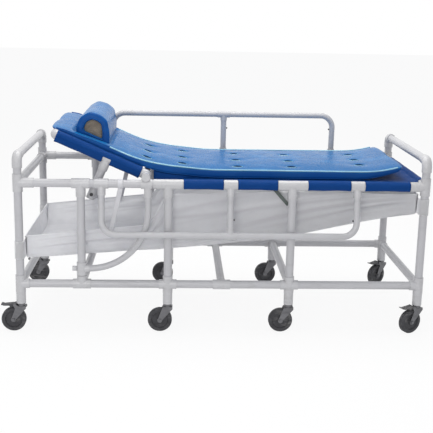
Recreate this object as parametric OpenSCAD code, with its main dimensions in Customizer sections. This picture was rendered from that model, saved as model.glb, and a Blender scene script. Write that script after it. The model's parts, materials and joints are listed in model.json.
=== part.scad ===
// Shower stretcher trolley built from plastic pipe: bed frame on eight casters, drop side rails,
// raised headrest, sling, pad, pillow and a sloping drain pan.
// Millimetres, +Z up, +X towards the foot end, origin on the floor under the middle of the frame.
// Distances called "from the head" run along X from the head posts' axis.

/* [Frame] */
// Distance between the axes of the head posts and the foot posts
frame_len = 2090; // [1720:10:2520]
// Distance between the axes of the two side frames
frame_w = 850; // [700:10:1030]
// Height of the bed rails' axis
bed_h = 790; // [700:5:960]
// Height of the lower rails' axis
low_h = 257; // [225:1:310]
// Height of the push handles' axis
handle_h = 927; // [900:1:1120]
// Height of the legs' lower ends above the floor
leg_foot_h = 152; // [150:1:158]
// Strut posts, from the head
strut_x = 317; // [260:1:330]
// Second pair of legs, from the head
leg2_x = 763; // [740:1:800]
// How far the third legs stand ahead of the middle between the second legs and the foot
leg3_lead = 25; // [0:1:40]

/* [Pipe and fittings] */
// Outside diameter of the frame pipe
pipe_d = 42.2; // [36:0.1:48]
// Outside diameter of the side rail and brace pipe
thin_d = 33.4; // [27:0.1:36]
// Wall of every pipe
pipe_wall = 3.6; // [2:0.1:5]
// Wall of every fitting
fit_wall = 4.4; // [3:0.1:6]
// Radial play of a pipe cemented into a fitting
seat_gap = 0.15; // [0.05:0.01:0.3]
// Radial play of a fitting that turns on a pipe
run_gap = 0.1; // [0.05:0.01:0.1]
// Half length of the tees on top of the middle legs
tee_half = 76; // [60:1:80]
// Length of the corner fittings' arms
corner_arm = 80; // [60:1:90]
// Half length of the short tees on the lower rails and struts
short_half = 46; // [40:1:50]
// Length of downward branches below the bed rails
branch_len = 68; // [55:1:80]
// Bend radius of the push handle elbows
elbow_r = 34; // [30:1:45]
// Length of the straight socket at each end of an elbow
elbow_socket = 26; // [20:1:35]

/* [Curved braces] */
// From the lower rails' axis up to where the curved brace meets the strut post
arc_rise = 83; // [82:1:140]
// From the strut post's axis to where the curve starts
arc_lead = 38; // [32:1:45]
// Radius of the curve
arc_r = 305; // [260:1:306]

/* [Side rails] */
// From the rail's pivot axis to the axis of its bar
rail_reach = 262; // [220:1:310]
// Bend radius at the bar's ends
rail_bend_r = 72; // [60:1:90]
// First upright, from the strut posts
rail_first = 106; // [90:1:130]
// How far the last upright stands ahead of the middle of the foot bay
rail_last_lead = 9; // [0:1:20]
// Half length of the tees that the rail turns on
pivot_half = 35; // [28:1:40]
// Length of the pivot tees' sockets from the pivot axis
pivot_socket = 60; // [50:1:70]
// Space between the lowered bar and the legs
rail_leg_gap = 1; // [0.5:0.1:5]
// Inward lean of the raised rail past upright, in degrees
rail_lean = 2; // [0:0.5:4]
// From the start of the bar's bends down to the small studs on the uprights
stud_drop = 10; // [6:1:40]

/* [Headrest] */
// Headrest hinge, from the head
hinge_x = 649; // [620:1:650]
// Headrest length from the hinge axis to the axis of its end tube
headrest_len = 505; // [420:1:600]
// Headrest angle above level, in degrees
headrest_tilt = 23.4; // [0:0.1:24]
// From the side frames' axis in to the headrest tubes' axis
headrest_inset = 56; // [50:1:70]
// Stem tee on the headrest tubes, from the hinge axis
stem_x = 217; // [180:1:260]
// Length of the stems below the headrest tubes' axis
stem_len = 232; // [190:1:240]

/* [Sling, pad and pillow] */
// Thickness of the sling fabric with its hems
sling_t = 4; // [3:0.5:6]
// Pad width
pad_w = 700; // [560:5:720]
// Pad thickness at its edges
pad_t = 40; // [30:1:60]
// Extra height in the middle of the pad
pad_crown = 7; // [0:1:15]
// Depth of the dips at the pad's drain slits
pad_dip = 5; // [0:0.5:8]
// Foot end of the pad, from the foot posts
pad_foot_gap = 95; // [80:1:200]
// How far the pad's foot end curls up
pad_curl = 34; // [0:1:60]
// Space between soft pieces and what carries them
soft_gap = 0.3; // [0.2:0.1:1]
// Pillow length across the bed
pillow_w = 560; // [400:5:600]
// Pillow height above the pad
pillow_h = 98; // [70:1:120]
// Pillow length along the headrest
pillow_l = 180; // [140:1:200]
// Pillow's middle, from the hinge axis
pillow_x = 332; // [300:1:360]

/* [Drain pan] */
// Thickness of the pan's sheet with its hems
pan_t = 4; // [3:0.5:6]
// Lowest height of the pan at the head end
pan_head_h = 372; // [340:1:420]
// Height of the pan's floor at the foot end
pan_foot_h = 628; // [580:1:660]
// Height of the open rim at the head end
pan_rim_h = 502; // [460:1:540]
// From the bed rails' axis down to the rim of the high sides
pan_hang = 46; // [40:1:60]
// Depth of the long folds in the pan's sides
pan_fold = 7; // [0:1:12]
// From the side frames' axis in to the pan's sides
pan_inset = 34; // [32:1:50]
// How far the floor's edges draw in below the rim
pan_draw = 50; // [20:1:80]

/* [Casters] */
// Wheel diameter
wheel_d = 127; // [110:1:130]
// Wheel width
wheel_w = 32; // [26:1:36]
// Distance that the wheel trails behind the swivel axis
caster_trail = 40; // [30:1:45]
// Axle diameter
axle_d = 10; // [8:1:12]
// Swivel of the front foot caster in degrees
yaw_front = 25; // [0:1:60]
// Swivel of the rear foot caster in degrees
yaw_rear = 35; // [0:1:60]

/* [Hidden] */
$fn = 64;
over = 1;
// Branch sockets are this much slimmer than the run they leave, so that equal cylinders never meet
branch_step = 0.4;
bore_step = 0.05;
pipe_r = pipe_d / 2;
thin_r = thin_d / 2;
fit_r = pipe_r + seat_gap + fit_wall;
side_y = frame_w / 2;
leg3_x = (leg2_x + frame_len) / 2 - leg3_lead;
leg_x = [0, leg2_x, leg3_x, frame_len];
rail_x = [strut_x + rail_first, (leg2_x + leg3_x) / 2, (leg3_x + frame_len) / 2 - rail_last_lead];
arc_top_x = strut_x + arc_lead + arc_r;
arc_low_h = low_h + arc_rise;
hinge_h = bed_h + pipe_r + thin_r + seat_gap;
headrest_y = side_y - headrest_inset;
rail_hang = asin((pipe_r + thin_r + rail_leg_gap) / rail_reach);
// Turn of each side rail about its pivot, from straight up: raised leans in, lowered hangs out
rail_up = rail_lean;
rail_down = rail_hang - 180;

// Directions of fitting arms
UP = [0, 0, 0];
DOWN = [180, 0, 0];
FOOT = [0, 90, 0];
HEAD = [0, -90, 0];
IN = [90, 0, 0];

pvc = [0.93, 0.93, 0.94];
steel = [0.55, 0.56, 0.58];
dark = [0.12, 0.12, 0.13];
blue = [0.08, 0.25, 0.62];
navy = [0.05, 0.14, 0.42];
vinyl = [0.86, 0.86, 0.9];

// X of a distance from the head
function at(d) = d - frame_len / 2;

// Smooth step from 0 to 1 as v goes from a to b
function ease(v, a, b) = let (t = max(0, min(1, (v - a) / (b - a)))) t * t * (3 - 2 * t);

// Draws its children on the rear side and mirrored on the front side
module both_sides() {
  children();
  mirror([0, 1, 0]) children();
}

module tube(d, len) {
  difference() {
    cylinder(d = d, h = len);
    translate([0, 0, -over]) cylinder(d = d - 2 * pipe_wall, h = len + 2 * over);
  }
}

module tube_x(x1, x2, y, z, d = pipe_d) {
  translate([x1, y, z]) rotate(FOOT) tube(d, x2 - x1);
}

module tube_y(x, y1, y2, z, d = pipe_d) {
  translate([x, y2, z]) rotate(IN) tube(d, y2 - y1);
}

module tube_z(x, y, z1, z2, d = pipe_d) {
  translate([x, y, z1]) tube(d, z2 - z1);
}

// One arm of a fitting: [direction, length behind the centre, length ahead, pipe diameter]
module arm(a, grow, extra = 0) {
  rotate(a[0]) translate([0, 0, -a[1] - extra]) cylinder(d = a[3] + 2 * grow, h = a[1] + a[2] + 2 * extra);
}

// A run that pipes pass through, with branches that pipes end in
module fitting(run, branches, play = seat_gap) {
  last = len(branches) - 1;
  difference() {
    union() {
      arm(run, seat_gap + fit_wall);
      for (i = [0 : last]) arm(branches[i], seat_gap + fit_wall - branch_step * (i + 1));
    }
    arm(run, play, over);
    for (i = [0 : last]) arm(branches[i], seat_gap + bore_step * (i + 1), over);
  }
}

// Frame pipes

module corner_posts() {
  color(pvc) both_sides() for (x = [0, frame_len])
    tube_z(at(x), side_y, leg_foot_h, handle_h - elbow_r);
}

module middle_legs() {
  color(pvc) both_sides() for (x = [leg2_x, leg3_x])
    tube_z(at(x), side_y, leg_foot_h, bed_h - pipe_r - seat_gap);
}

module strut_posts() {
  color(pvc) both_sides()
    tube_z(at(strut_x), side_y, low_h + pipe_r + seat_gap, bed_h - pipe_r - seat_gap);
}

module bed_rails() {
  color(pvc) both_sides()
    tube_x(at(pipe_r + seat_gap), at(frame_len - pipe_r - seat_gap), side_y, bed_h);
}

module lower_rails() {
  color(pvc) both_sides() for (i = [0 : 2])
    tube_x(at(leg_x[i] + pipe_r + seat_gap), at(leg_x[i + 1] - pipe_r - seat_gap), side_y, low_h);
}

cross_end = side_y - pipe_r - seat_gap;

module bed_cross_tubes() {
  color(pvc) for (x = [0, frame_len]) tube_y(at(x), -cross_end, cross_end, bed_h);
}

module lower_cross_tubes() {
  color(pvc) for (x = concat(leg_x, [strut_x, frame_len / 2])) tube_y(at(x), -cross_end, cross_end, low_h);
}

module push_handles() {
  color(pvc) for (x = [0, frame_len]) tube_y(at(x), elbow_r - side_y, side_y - elbow_r, handle_h);
}

module handle_elbows() {
  color(pvc) both_sides() for (x = [0, frame_len])
    translate([at(x), side_y - elbow_r, handle_h - elbow_r]) difference() {
      union() {
        rotate([90, 0, 90]) rotate_extrude(angle = 90) translate([elbow_r, 0]) circle(r = fit_r);
        translate([0, elbow_r, -elbow_socket]) cylinder(r = fit_r, h = elbow_socket);
        translate([0, 0, elbow_r]) rotate(IN) cylinder(r = fit_r, h = elbow_socket);
      }
      translate([0, elbow_r, -elbow_socket - over]) cylinder(r = pipe_r + seat_gap, h = elbow_socket + over);
      translate([0, 0, elbow_r]) rotate(IN) cylinder(r = pipe_r + seat_gap, h = elbow_socket + over);
    }
}

// Frame fittings

module bed_corner_tees() {
  color(pvc) both_sides() for (x = [0, frame_len])
    translate([at(x), side_y, bed_h])
      fitting([UP, short_half, short_half, pipe_d],
        [[x == 0 ? FOOT : HEAD, 0, corner_arm, pipe_d], [IN, 0, corner_arm, pipe_d]]);
}

module bed_rail_tees() {
  color(pvc) both_sides() {
    for (x = [leg2_x, leg3_x]) translate([at(x), side_y, bed_h])
      fitting([FOOT, tee_half, tee_half, pipe_d], [[DOWN, 0, branch_len, pipe_d]]);
    translate([at(strut_x), side_y, bed_h])
      fitting([FOOT, short_half, short_half, pipe_d], [[DOWN, 0, branch_len, pipe_d]]);
  }
}

module lower_corner_tees() {
  color(pvc) both_sides() for (x = [0, frame_len])
    translate([at(x), side_y, low_h])
      fitting([UP, short_half, short_half, pipe_d],
        [[x == 0 ? FOOT : HEAD, 0, short_half, pipe_d], [IN, 0, short_half, pipe_d]]);
}

module lower_leg_crosses() {
  color(pvc) both_sides() for (x = [leg2_x, leg3_x])
    translate([at(x), side_y, low_h])
      fitting([UP, short_half, short_half, pipe_d],
        [[FOOT, short_half, short_half, pipe_d], [IN, 0, short_half, pipe_d]]);
}

module lower_rail_tees() {
  color(pvc) both_sides() {
    translate([at(strut_x), side_y, low_h])
      fitting([FOOT, short_half, short_half, pipe_d],
        [[UP, 0, short_half, pipe_d], [IN, 0, short_half, pipe_d]]);
    translate([at(frame_len / 2), side_y, low_h])
      fitting([FOOT, short_half, short_half, pipe_d], [[IN, 0, short_half, pipe_d]]);
  }
}

sleeve_wall = fit_wall - 1;

module leg_sleeves() {
  color(pvc) both_sides() for (x = leg_x) translate([at(x), side_y, leg_foot_h]) difference() {
    cylinder(r = pipe_r + seat_gap + sleeve_wall, h = low_h - short_half - leg_foot_h);
    translate([0, 0, -over]) cylinder(r = pipe_r + seat_gap, h = low_h - leg_foot_h);
  }
}

// Curved braces and the fittings that hold them

module arc_braces() {
  color(pvc) both_sides() translate([at(strut_x + arc_lead), side_y, arc_low_h + arc_r]) {
    start = pipe_r + seat_gap - arc_lead;
    top = bed_h - pipe_r - seat_gap - arc_low_h - arc_r;
    difference() {
      union() {
        rotate([90, 0, 0]) rotate([0, 0, -90]) rotate_extrude(angle = 90) translate([arc_r, 0])
          circle(d = thin_d);
        translate([start, 0, -arc_r]) rotate(FOOT) cylinder(d = thin_d, h = -start);
        translate([arc_r, 0, 0]) cylinder(d = thin_d, h = top);
      }
      rotate([90, 0, 0]) rotate([0, 0, -90]) rotate_extrude(angle = 90) translate([arc_r, 0])
        circle(d = thin_d - 2 * pipe_wall);
      translate([start - over, 0, -arc_r]) rotate(FOOT)
        cylinder(d = thin_d - 2 * pipe_wall, h = over - start);
      translate([arc_r, 0, 0]) cylinder(d = thin_d - 2 * pipe_wall, h = top + over);
    }
  }
}

arc_tee_half = 34;
knob_d = 26;
knob_len = 22;

// Tee on the strut post with a round plug on its far side
module arc_post_tees() {
  color(pvc) both_sides() translate([at(strut_x), side_y, arc_low_h]) {
    fitting([UP, arc_tee_half, arc_tee_half, pipe_d], [[FOOT, 0, arc_lead, thin_d]]);
    translate([-pipe_r - seat_gap - fit_wall, 0, 0]) rotate(HEAD) cylinder(d = knob_d, h = knob_len);
  }
}

saddle_half = 25;

// Cross-over clamp on the bed rail: carries the hinge bar above and the curved brace below
module hinge_saddles() {
  brace_x = arc_top_x - hinge_x;
  run = [FOOT, saddle_half, brace_x + thin_r + seat_gap + fit_wall, pipe_d];
  color(pvc) both_sides() translate([at(hinge_x), side_y, bed_h]) difference() {
    union() {
      arm(run, seat_gap + fit_wall);
      translate([0, 0, hinge_h - bed_h]) arm([IN, saddle_half, saddle_half, thin_d], seat_gap + fit_wall);
      translate([brace_x, 0, 0]) arm([DOWN, 0, branch_len, thin_d], seat_gap + fit_wall - branch_step);
    }
    arm(run, seat_gap, over);
    translate([0, 0, hinge_h - bed_h]) arm([IN, saddle_half, saddle_half, thin_d], seat_gap, over);
    translate([brace_x, 0, 0]) arm([DOWN, 0, branch_len, thin_d], seat_gap + bore_step, over);
  }
}

module hinge_bar() {
  color(pvc) tube_y(at(hinge_x), -side_y - saddle_half + over, side_y + saddle_half - over, hinge_h, thin_d);
}

module hinge_bar_caps() {
  color(pvc) both_sides() translate([at(hinge_x), side_y + saddle_half, hinge_h]) rotate(-IN)
    cylinder(d = thin_d + 2 * seat_gap + 2 * fit_wall, h = 3);
}

// Side rails, drawn standing straight up on the rear side

module rail_tube() {
  bar_z = rail_reach - rail_bend_r;
  color(pvc) difference() {
    rail_path(thin_d);
    rail_path(thin_d - 2 * pipe_wall, over);
  }
  module rail_path(d, extra = 0) {
    low = pipe_r + run_gap + seat_gap;
    for (x = [rail_x[0], rail_x[2]]) translate([at(x), 0, bar_z]) rotate(DOWN)
      cylinder(d = d, h = bar_z - low + extra);
    translate([at(rail_x[0] + rail_bend_r), 0, rail_reach]) rotate(FOOT)
      cylinder(d = d, h = rail_x[2] - rail_x[0] - 2 * rail_bend_r);
    translate([at(rail_x[0] + rail_bend_r), 0, bar_z]) rotate([90, 0, 0]) rotate([0, 0, 90])
      rotate_extrude(angle = 90) translate([rail_bend_r, 0]) circle(d = d);
    translate([at(rail_x[2] - rail_bend_r), 0, bar_z]) rotate([90, 0, 0])
      rotate_extrude(angle = 90) translate([rail_bend_r, 0]) circle(d = d);
  }
}

mid_tee_wall = 2.8;
mid_tee_half = 36;

module rail_mid_post() {
  color(pvc) {
    tube_z(at(rail_x[1]), 0, pipe_r + run_gap + seat_gap, rail_reach - thin_r - seat_gap, thin_d);
    translate([at(rail_x[1]), 0, rail_reach]) difference() {
      union() {
        arm([FOOT, mid_tee_half, mid_tee_half, thin_d], seat_gap + mid_tee_wall);
        arm([DOWN, 0, mid_tee_half, thin_d], seat_gap + mid_tee_wall - branch_step);
      }
      arm([FOOT, mid_tee_half, mid_tee_half, thin_d], seat_gap, over);
      arm([DOWN, 0, mid_tee_half, thin_d], seat_gap + bore_step, over);
    }
  }
}

module rail_pivots() {
  color(pvc) for (x = rail_x) translate([at(x), 0, 0])
    fitting([FOOT, pivot_half, pivot_half, pipe_d], [[UP, 0, pivot_socket, thin_d]], run_gap);
}

stud_d = 9;
stud_len = 6;

module rail_studs() {
  z = rail_reach - rail_bend_r - stud_drop;
  color(dark) {
    translate([at(rail_x[1]) + thin_r + seat_gap, 0, z]) rotate(FOOT) cylinder(d = stud_d, h = stud_len);
    translate([at(rail_x[2]) - thin_r - seat_gap, 0, z]) rotate(HEAD) cylinder(d = stud_d, h = stud_len);
  }
}

// Puts a rail on the front side, lowered, or on the rear side, raised
module place_rail(front) {
  mirror([0, front ? 1 : 0, 0]) translate([0, side_y, bed_h]) rotate([front ? rail_down : rail_up, 0, 0])
    children();
}

// Headrest, drawn level with its hinge axis at the origin and the head towards -X

module place_headrest() {
  translate([at(hinge_x), 0, hinge_h]) rotate([0, headrest_tilt, 0]) children();
}

hinge_tee_half = 30;
hinge_seat = thin_r + run_gap + fit_wall;

module headrest_tubes() {
  color(pvc) place_headrest() {
    both_sides() tube_x(-headrest_len + elbow_r, -hinge_seat - seat_gap, headrest_y, 0);
    tube_y(-headrest_len, elbow_r - headrest_y, headrest_y - elbow_r, 0);
  }
}

module headrest_fittings() {
  color(pvc) place_headrest() both_sides() {
    translate([0, headrest_y, 0]) difference() {
      union() {
        arm([IN, hinge_tee_half, hinge_tee_half, thin_d], run_gap + fit_wall + 2);
        arm([HEAD, 0, corner_arm, pipe_d], seat_gap + fit_wall);
      }
      arm([IN, hinge_tee_half, hinge_tee_half, thin_d], run_gap, over);
      translate([-hinge_seat, 0, 0]) arm([HEAD, 0, corner_arm, pipe_d], seat_gap);
    }
    translate([elbow_r - headrest_len, headrest_y - elbow_r, 0]) difference() {
      union() {
        rotate([0, 0, 90]) rotate_extrude(angle = 90) translate([elbow_r, 0]) circle(r = fit_r);
        translate([0, elbow_r, 0]) rotate(FOOT) cylinder(r = fit_r, h = elbow_socket);
        translate([-elbow_r, 0, 0]) rotate(IN) cylinder(r = fit_r, h = elbow_socket);
      }
      translate([0, elbow_r, 0]) rotate(FOOT) cylinder(r = pipe_r + seat_gap, h = elbow_socket + over);
      translate([-elbow_r, 0, 0]) rotate(IN) cylinder(r = pipe_r + seat_gap, h = elbow_socket + over);
    }
    translate([-stem_x, headrest_y, 0])
      fitting([FOOT, short_half, short_half, pipe_d], [[DOWN, 0, branch_len, pipe_d]]);
  }
}

module headrest_stems() {
  color(pvc) place_headrest() both_sides() translate([-stem_x, headrest_y, -stem_len]) difference() {
    tube(pipe_d, stem_len - pipe_r - seat_gap);
    translate([0, 0, bolt_rise]) rotate(IN)
      cylinder(d = bolt_d + 2 * seat_gap, h = 2 * pipe_d, center = true);
  }
}

bolt_d = 10;
bolt_rise = 26;
bolt_head_d = 18;
bolt_head_h = 6;

// Cross bolts at the stems' lower ends, heads outwards
module stem_bolts() {
  color(dark) place_headrest() both_sides()
    translate([-stem_x, headrest_y, bolt_rise - stem_len]) {
      translate([0, pipe_r + seat_gap, 0]) rotate(IN) cylinder(d = bolt_d, h = pipe_d + seat_gap);
      translate([0, pipe_r + seat_gap, 0]) rotate(-IN) cylinder(d = bolt_head_d, h = bolt_head_h);
    }
}

sling_r = pipe_r + seat_gap + sling_t;
sling_z = sling_r - sling_t;
sling_end_gap = 2;

// Lengths of headrest tube that the headrest sling wraps: either side of the stem tee
headrest_sleeves = [
  [-headrest_len + elbow_r + elbow_socket + sling_end_gap, -stem_x - short_half - sling_end_gap],
  [-stem_x + short_half + sling_end_gap, -corner_arm - sling_end_gap]
];

module sleeves(spans, y, bore) {
  for (s = spans) translate([s[0], y, 0]) rotate(FOOT)
    cylinder(r = bore ? pipe_r + seat_gap : sling_r, h = s[1] - s[0]);
}

// Sheet that spans the bed between two tubes and is hemmed round them along the given spans
module sling(spans, x1, x2, y) {
  difference() {
    union() {
      both_sides() sleeves(spans, y, false);
      translate([x1, -y + sling_r + 8, sling_z]) cube([x2 - x1, 2 * (y - sling_r - 8), sling_t]);
      for (s = spans) translate([s[0], -y, sling_z]) cube([s[1] - s[0], 2 * y, sling_t]);
    }
    both_sides() translate([-over, 0, 0]) sleeves([for (s = spans) [s[0], s[1] + 2 * over]], y, true);
  }
}

module headrest_sling() {
  color(navy) place_headrest()
    sling(headrest_sleeves, headrest_sleeves[0][0], headrest_sleeves[1][1], headrest_y);
}

body_sleeves = [
  [at(leg_x[1] + tee_half + sling_end_gap), at(rail_x[1] - pivot_half - sling_end_gap)],
  [at(rail_x[1] + pivot_half + sling_end_gap), at(leg_x[2] - tee_half - sling_end_gap)],
  [at(leg_x[2] + tee_half + sling_end_gap), at(rail_x[2] - pivot_half - sling_end_gap)],
  [at(rail_x[2] + pivot_half + sling_end_gap), at(frame_len - corner_arm - sling_end_gap)]
];

module body_sling() {
  color(navy) translate([0, 0, bed_h])
    sling(body_sleeves, body_sleeves[0][0], at(frame_len - fit_r - sling_end_gap), side_y);
}

// Pads: rounded slabs carried along stations [x, z of the underside, slope, width, thickness]

pad_pts = 22;
pad_round = 0.3;

function bent(v) = sign(v) * pow(abs(v), pad_round);

function pad_ring(s) = [for (i = [0 : pad_pts - 1]) let (
    a = 360 * (i + 0.5) / pad_pts,
    y = s[3] / 2 * bent(cos(a)),
    top = sin(a) > 0 ? pad_crown * (1 - pow(2 * y / s[3], 2)) : 0,
    v = s[4] / 2 * (1 + bent(sin(a))) + top)
  [s[0] - v * sin(s[2]), y, s[1] + v * cos(s[2])]];

// Closed triangle skin over rings of n points, with a middle point in each end cap
module skin(rings) {
  n = len(rings[0]);
  k = len(rings);
  mid = function (r) [for (c = [0 : 2]) [for (p = r) p[c]] * [for (p = r) 1 / n]];
  points = concat([for (r = rings) each r], [mid(rings[0]), mid(rings[k - 1])]);
  walls = [for (j = [0 : k - 2], i = [0 : n - 1], h = [0, 1]) let (i2 = (i + 1) % n)
    h == 0 ? [j * n + i, j * n + i2, (j + 1) * n + i2] : [j * n + i, (j + 1) * n + i2, (j + 1) * n + i]];
  ends = [for (i = [0 : n - 1], h = [0, 1]) let (i2 = (i + 1) % n, b = (k - 1) * n)
    h == 0 ? [k * n, i2, i] : [k * n + 1, b + i, b + i2]];
  polyhedron(points, concat(walls, ends));
}

pad_steps = 36;
pad_draw_in = 10;
slit_spread = 55;
pad_slits = [834, 1126, 1413, 1787];

// 0 at a pad's two ends and 1 inside, so that the ends are rounded off
function pad_end(t) = pow(1 - pow(abs(2 * t - 1), 14), 0.5);

pad_start = hinge_x + 62;
pad_stop = frame_len - pad_foot_gap;
pad_base = bed_h + sling_r + soft_gap;
pad_lift = hinge_h - bed_h + fit_wall + 3;

function pad_under(x) = pad_base + pad_lift * 0.55 * (1 - ease(x, pad_start - 40, leg2_x + 130))
  + pad_curl * pow(ease(x, pad_stop - 330, pad_stop + 60), 2) * 2;
function pad_slope(x) = atan((pad_under(x + 1) - pad_under(x - 1)) / 2);
function pad_dips(x) = pad_dip * max([for (c = pad_slits) exp(-pow((x - c) / slit_spread, 2))]);

module body_pad() {
  color(blue) skin([for (i = [0 : pad_steps]) let (
      t = 0.004 + 0.992 * i / pad_steps,
      x = pad_start + t * (pad_stop - pad_start),
      e = 0.3 + 0.7 * pad_end(t))
    pad_ring([at(x), pad_under(x) + pad_t * (1 - e) / 2, pad_slope(x),
      pad_w - 2 * pad_draw_in * pow(sin(180 * t), 2) - pad_t * (1 - e), (pad_t - pad_dips(x)) * e])]);
}

head_pad_start = 12;
head_pad_stop = headrest_len + 8;
head_pad_steps = 20;

module head_pad() {
  color(blue) place_headrest() skin([for (i = [0 : head_pad_steps]) let (
      t = 0.006 + 0.988 * i / head_pad_steps,
      x = -head_pad_stop + t * (head_pad_stop - head_pad_start),
      e = 0.3 + 0.7 * pad_end(t))
    pad_ring([x, sling_r + soft_gap + pad_t * (1 - e) / 2, 0,
      pad_w - 2 * pad_draw_in * pow(sin(180 * t), 2) - pad_t * (1 - e), pad_t * e])]);
}

pillow_pts = 20;
pillow_steps = 16;

// Bolster with a flat base, fuller towards the head and drawn to an edge towards the hinge
function pillow_ring(y, e) = [for (i = [0 : pillow_pts - 1]) let (
    a = 360 * i / pillow_pts,
    v = a < 180 ? pow(sin(a), 0.75) * (1 - 0.2 * cos(a)) : 0.02 * sin(a))
  [-pillow_x + e * pillow_l / 2 * cos(a), y, e * pillow_h * v]];

module pillow() {
  base = sling_r + soft_gap + pad_t + pad_crown + soft_gap + 0.02 * pillow_h;
  color(blue) place_headrest() translate([0, 0, base])
    skin([for (i = [pillow_steps : -1 : 0]) let (t = 2 * i / pillow_steps - 1)
      pillow_ring(t * pillow_w / 2, 1 - 0.1 * pow(abs(t), 6))]);
}

// Drain pan: an open trough of soft sheet, low at the head and shallow at the foot

pan_pts = 24;
pan_steps = 22;
pan_square = 3.5;
pan_y = side_y - pan_inset;
strap_r = pipe_r + seat_gap + pan_t;
pan_x = strap_r + soft_gap;
pan_run = frame_len - 2 * pan_x;

function pan_floor(t) = pan_head_h + (pan_foot_h - pan_head_h) * (0.35 * t + 0.65 * pow(t, 2.2));
function pan_rim(x) =
  let (low = pan_rim_h + 0.075 * x, high = bed_h - pan_hang - 22 * ease(x, leg3_x, frame_len))
  low + (high - low) * ease(x, leg2_x - 110, leg2_x + 10);

// One section across the pan, from the front rim round to the rear rim, moved in by the sheet
function pan_ring(t, inner) = let (
    x = pan_x + (inner ? pan_t : 0) + t * (pan_run - (inner ? 2 * pan_t : 0)),
    low = pan_floor(t) + (inner ? pan_t : 0),
    high = pan_rim(x))
  [for (i = [0 : pan_pts]) let (
      u = 2 * i / pan_pts - 1,
      side = pow(abs(u), pan_square),
      fold = pan_fold * sin(180 * (4 * side + 2.2 * t)) * side * (1 - side) * 4,
      y = sign(u) * (pow(abs(u), 0.6) * (pan_y - pan_draw) + pan_draw * side
        - (inner ? pan_t : 0) * abs(u) + fold),
      ripple = pan_fold * 0.5 * cos(180 * (6 * t + 2 * u)) * (1 - side) * sin(180 * t))
    [at(x), y, low + (high - low) * side + ripple]];

module drain_pan() {
  m = pan_pts + 1;
  k = pan_steps + 1;
  points = concat(
    [for (j = [0 : pan_steps]) each pan_ring(j / pan_steps, false)],
    [for (j = [0 : pan_steps]) each pan_ring(j / pan_steps, true)]);
  inner = k * m;
  // Two triangles for a quad, turned over on request
  quad = function (a, b, c, d, turn) turn ? [[a, c, b], [a, d, c]] : [[a, b, c], [a, c, d]];
  shells = [for (j = [0 : pan_steps - 1], i = [0 : pan_pts - 1], s = [0, 1]) let (
      a = s * inner + j * m + i)
    each quad(a, a + 1, a + m + 1, a + m, s == 0)];
  rims = [for (j = [0 : pan_steps - 1], e = [0, pan_pts]) let (a = j * m + e)
    each quad(a, a + m, inner + a + m, inner + a, e == 0)];
  caps = [for (e = [0, pan_steps], s = [0, 1], i = [0 : pan_pts / 2 - 1]) let (
      b = s * inner + e * m)
    each quad(b + i, b + pan_pts - i, b + pan_pts - i - 1, b + i + 1, (e == 0) != (s == 1))];
  lips = [for (e = [0, pan_steps]) let (b = e * m)
    each quad(b, inner + b, inner + b + pan_pts, b + pan_pts, e == 0)];
  faces = [for (f = concat(shells, rims, caps, lips)) if (f[0] != f[1] && f[1] != f[2] && f[2] != f[0]) f];
  color(vinyl) polyhedron(points, faces);
}

strap_tab = 90;

// Cloth loops round the corner posts, each with a tab along the pan's end
module pan_straps() {
  color(vinyl) both_sides() for (foot = [0, 1]) {
    low = foot ? pan_foot_h + 14 : pan_head_h + 20;
    tall = foot ? pan_rim(frame_len) - pan_foot_h - 30 : pan_rim_h - pan_head_h - 32;
    translate([at(foot * frame_len), side_y, low]) mirror([foot, 0, 0]) difference() {
      union() {
        cylinder(r = strap_r, h = tall);
        translate([strap_r - pan_t, -strap_tab, 0]) cube([pan_t, strap_tab, tall]);
      }
      translate([0, 0, -over]) cylinder(r = pipe_r + seat_gap, h = tall + 2 * over);
    }
  }
}

// Casters

caster_count = 8;
axle_h = wheel_d / 2;
fork_gap = 3;
plate_t = 3;
crown_clear = 6;
crown_t = 4;
stem_r = 6;
race_r = 20;
flange_t = 2.5;
crown_z = wheel_d + crown_clear;
race_top = leg_foot_h - flange_t - soft_gap;
fork_half = wheel_w / 2 + fork_gap;
// Pedal pin, from the swivel axis and from the crown's underside, and the lug's height over the tread
pedal_pivot = [-31, 9];
pedal_pin_r = 4;
pedal_casters = [1, 4, 5, 8];
lug_clear = 4;

// Casters 1 to 4 stand on the front side from head to foot, 5 to 8 on the rear side
function caster_x(k) = at(leg_x[(k - 1) % 4]);
function caster_y(k) = k <= 4 ? -side_y : side_y;
function caster_yaw(k) = k == 4 ? yaw_front : k == 8 ? yaw_rear : 0;

module place_caster(k) {
  translate([caster_x(k), caster_y(k), 0]) rotate([0, 0, caster_yaw(k)]) children();
}

// Plugs in the legs, each with the pin that its caster turns on
module caster_stems() {
  plug = 55;
  head_h = 3;
  color(steel) for (k = [1 : caster_count]) place_caster(k) {
    translate([0, 0, leg_foot_h - flange_t])
      cylinder(r = pipe_r + seat_gap + sleeve_wall - 1, h = flange_t - soft_gap);
    translate([0, 0, leg_foot_h - flange_t]) cylinder(r = pipe_r - pipe_wall - seat_gap, h = plug);
    translate([0, 0, crown_z - soft_gap - head_h / 2]) cylinder(r = stem_r, h = leg_foot_h - crown_z);
    translate([0, 0, crown_z - soft_gap - head_h]) cylinder(r = stem_r + 3, h = head_h);
  }
}

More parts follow.
